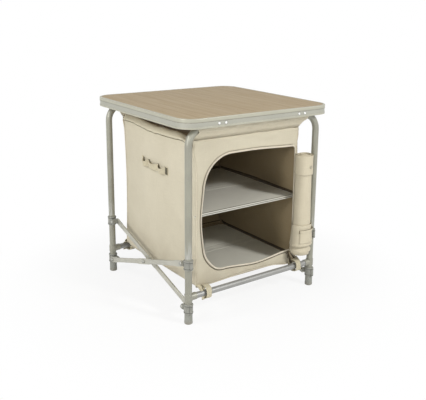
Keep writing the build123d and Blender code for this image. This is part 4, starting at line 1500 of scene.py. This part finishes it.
# Dark beads: painted shadow lines under the roof's lip and along the tab's top.
dress([lip_shade_piping, tab_shade_edge], "binding", piping_painted_shade)
dress([binding], "binding", tape)
dress([coil_zip], "zip", coil)
dress([zip_tail], "zip", tail_tape)
dress([zip_slider], "zip", dark_metal)
dress(front_straps + rear_straps + handles, "webbing", webbing)
dress(handle_shade_tacks, "webbing", tack_shade_thread)
dress(side_tapes + rear_tapes, "binding", dark_shade_tape)
dress(boards, "covered_board", cover)
dress(hinge_strips, "covered_board", board_cloth)
dress([snap], "rivet_steel", snap_metal)

# %% Dress the CAD nodes
by_slot = {
    "laminate": oak,
    "edge_aluminium": edging,
    "frame_tube": tube_coat,
    "grey_plastic": collar_plastic,
    "brace_steel": brace_coat,
    "rivet_steel": rivet_steel,
    "rail": rail_metal,
}
by_node = {
    "edge_rivets": edge_rivet_steel,
    "front_crossbar": bar_coat,
    "rear_crossbar": bar_coat,
    "front_feet": foot_plastic,
    "rear_feet": foot_plastic,
    "front_clips": clip_steel,
    "rear_rests": clip_steel,
}
for row in frame["record"]["subparts"]:
    node = frame["nodes"][row["node"]]
    if node.hide_render:
        continue
    material = by_node.get(row["node"], by_slot[row["material_slot"]])
    node.data.materials.clear()
    node.data.materials.append(material)
    print(row["node"], "wears", material.name)

# %% [markdown]
# # Floor, light and camera
# The photo has a white, nearly shadowless ground, a soft lamp from the front and a little right, and as
# much light again from the left. The floor is pale, and for the camera it glows, more so further out, so
# that it ends in plain white and still shows the soft shadow near the feet.


# %% Floor
def seen_directly(tree):
    """1 for the camera's own rays and what it sees in gloss and glass, 0 for light that bounces."""
    path = add_node(tree, "LightPath").outputs
    kinds = ("Camera", "Glossy", "Transmission")
    camera_ray, glossy, glass = (Flow(tree, path[f"Is {kind} Ray"]) for kind in kinds)
    return camera_ray.reckon("MAXIMUM", camera_ray, glossy.reckon("MAXIMUM", glossy, glass))


floor_mesh = bmesh.new()
bmesh.ops.create_grid(floor_mesh, x_segments=1, y_segments=1, size=8.0)
floor_data = bpy.data.meshes.new("studio_floor")
floor_mesh.to_mesh(floor_data)
floor_mesh.free()
studio_floor = bpy.data.objects.new("studio_floor", floor_data)
bpy.context.scene.collection.objects.link(studio_floor)
studio_floor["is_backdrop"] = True
finish = Finish("floor_white", Roughness=0.9, Base_Color=(0.86, 0.86, 0.855, 1))
tree = finish.tree
place = finish.place()
away = place.through("VectorMath", {0: place}, "Value", operation="LENGTH")
mixed = away.through("MixShader", {
    0: seen_directly(tree) * spread(away, 0.28, 0.70, 0.86, 1.0),
    1: Flow(tree, tree.nodes["Principled BSDF"].outputs[0]),
    2: away.through("Emission", {}),
})
feed(tree, tree.nodes["Material Output"].inputs["Surface"], mixed)
studio_floor.data.materials.append(finish.material)

# %% Surround
world = bpy.data.worlds.new("studio")
bpy.context.scene.world = world
world.use_nodes = True
surround = world.node_tree.nodes["Background"].inputs
surround["Color"].default_value = (1, 1, 1, 1)
feed(world.node_tree, surround["Strength"], spread(seen_directly(world.node_tree), 0.0, 1.0, 0.29, 1.0))

# %% Lamps
lamp_target = Vector((0, 0, 0.3))


def soft_lamp(name, place, size, power):
    lamp = bpy.data.lights.new(name, "AREA")
    lamp.size = size
    lamp.energy = power
    holder = bpy.data.objects.new(name, lamp)
    holder.location = place
    holder.rotation_euler = (lamp_target - Vector(place)).to_track_quat("-Z", "Y").to_euler()
    bpy.context.scene.collection.objects.link(holder)
    print(name, power, "W")


soft_lamp("front_lamp", (0.98, -2.54, 2.05), 0.45, 59)
soft_lamp("left_lamp", (-2.90, -0.88, 1.05), 0.3, 21)
soft_lamp("side_lamp", (-2.6, 0.3, 2.0), 0.8, 34)
soft_lamp("fill_lamp", (-1.70, -2.30, 1.20), 0.9, 8)

# %% [markdown]
# ## The camera
# The camera stands where the photo was taken from. Its lens and its shift come from the fit to the
# photo's labelled sizes, in pixels: the focal length, and the point that it looks at straight ahead.

# %% The camera at the photo's place
photo_width, photo_height = 426, 400
focal_pixels, ahead_x, ahead_y = 656.42, 235, 165
camera_data = bpy.data.cameras.new("camera")
camera = bpy.data.objects.new("camera", camera_data)
bpy.context.scene.collection.objects.link(camera)
bpy.context.scene.camera = camera
azimuth, elevation, roll = (math.radians(a) for a in (37.22, 14.06, 0.97))
ahead = Vector((math.sin(azimuth) * math.cos(elevation), math.cos(azimuth) * math.cos(elevation),
                -math.sin(elevation)))
across = ahead.cross(Vector((0, 0, 1))).normalized()
upward = across.cross(ahead)
right_way = across * math.cos(roll) + upward * math.sin(roll)
top_way = upward * math.cos(roll) - across * math.sin(roll)
camera.matrix_world = Matrix((right_way, top_way, -ahead)).transposed().to_4x4()
camera.location = (-1.06082, -1.5176, 0.81404)
camera_data.sensor_width = 36.0
camera_data.lens = focal_pixels / photo_width * camera_data.sensor_width
camera_data.shift_x = -(ahead_x - photo_width / 2) / photo_width
camera_data.shift_y = (ahead_y - photo_height / 2) / photo_width
bpy.context.scene.view_settings.view_transform = "Standard"

# %% [markdown]
# # Last measures
# The box of the dressed object is printed.

# %% Print the dressed object's box
low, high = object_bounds()
print("visual box", [round(x, 4) for x in low], [round(x, 4) for x in high])
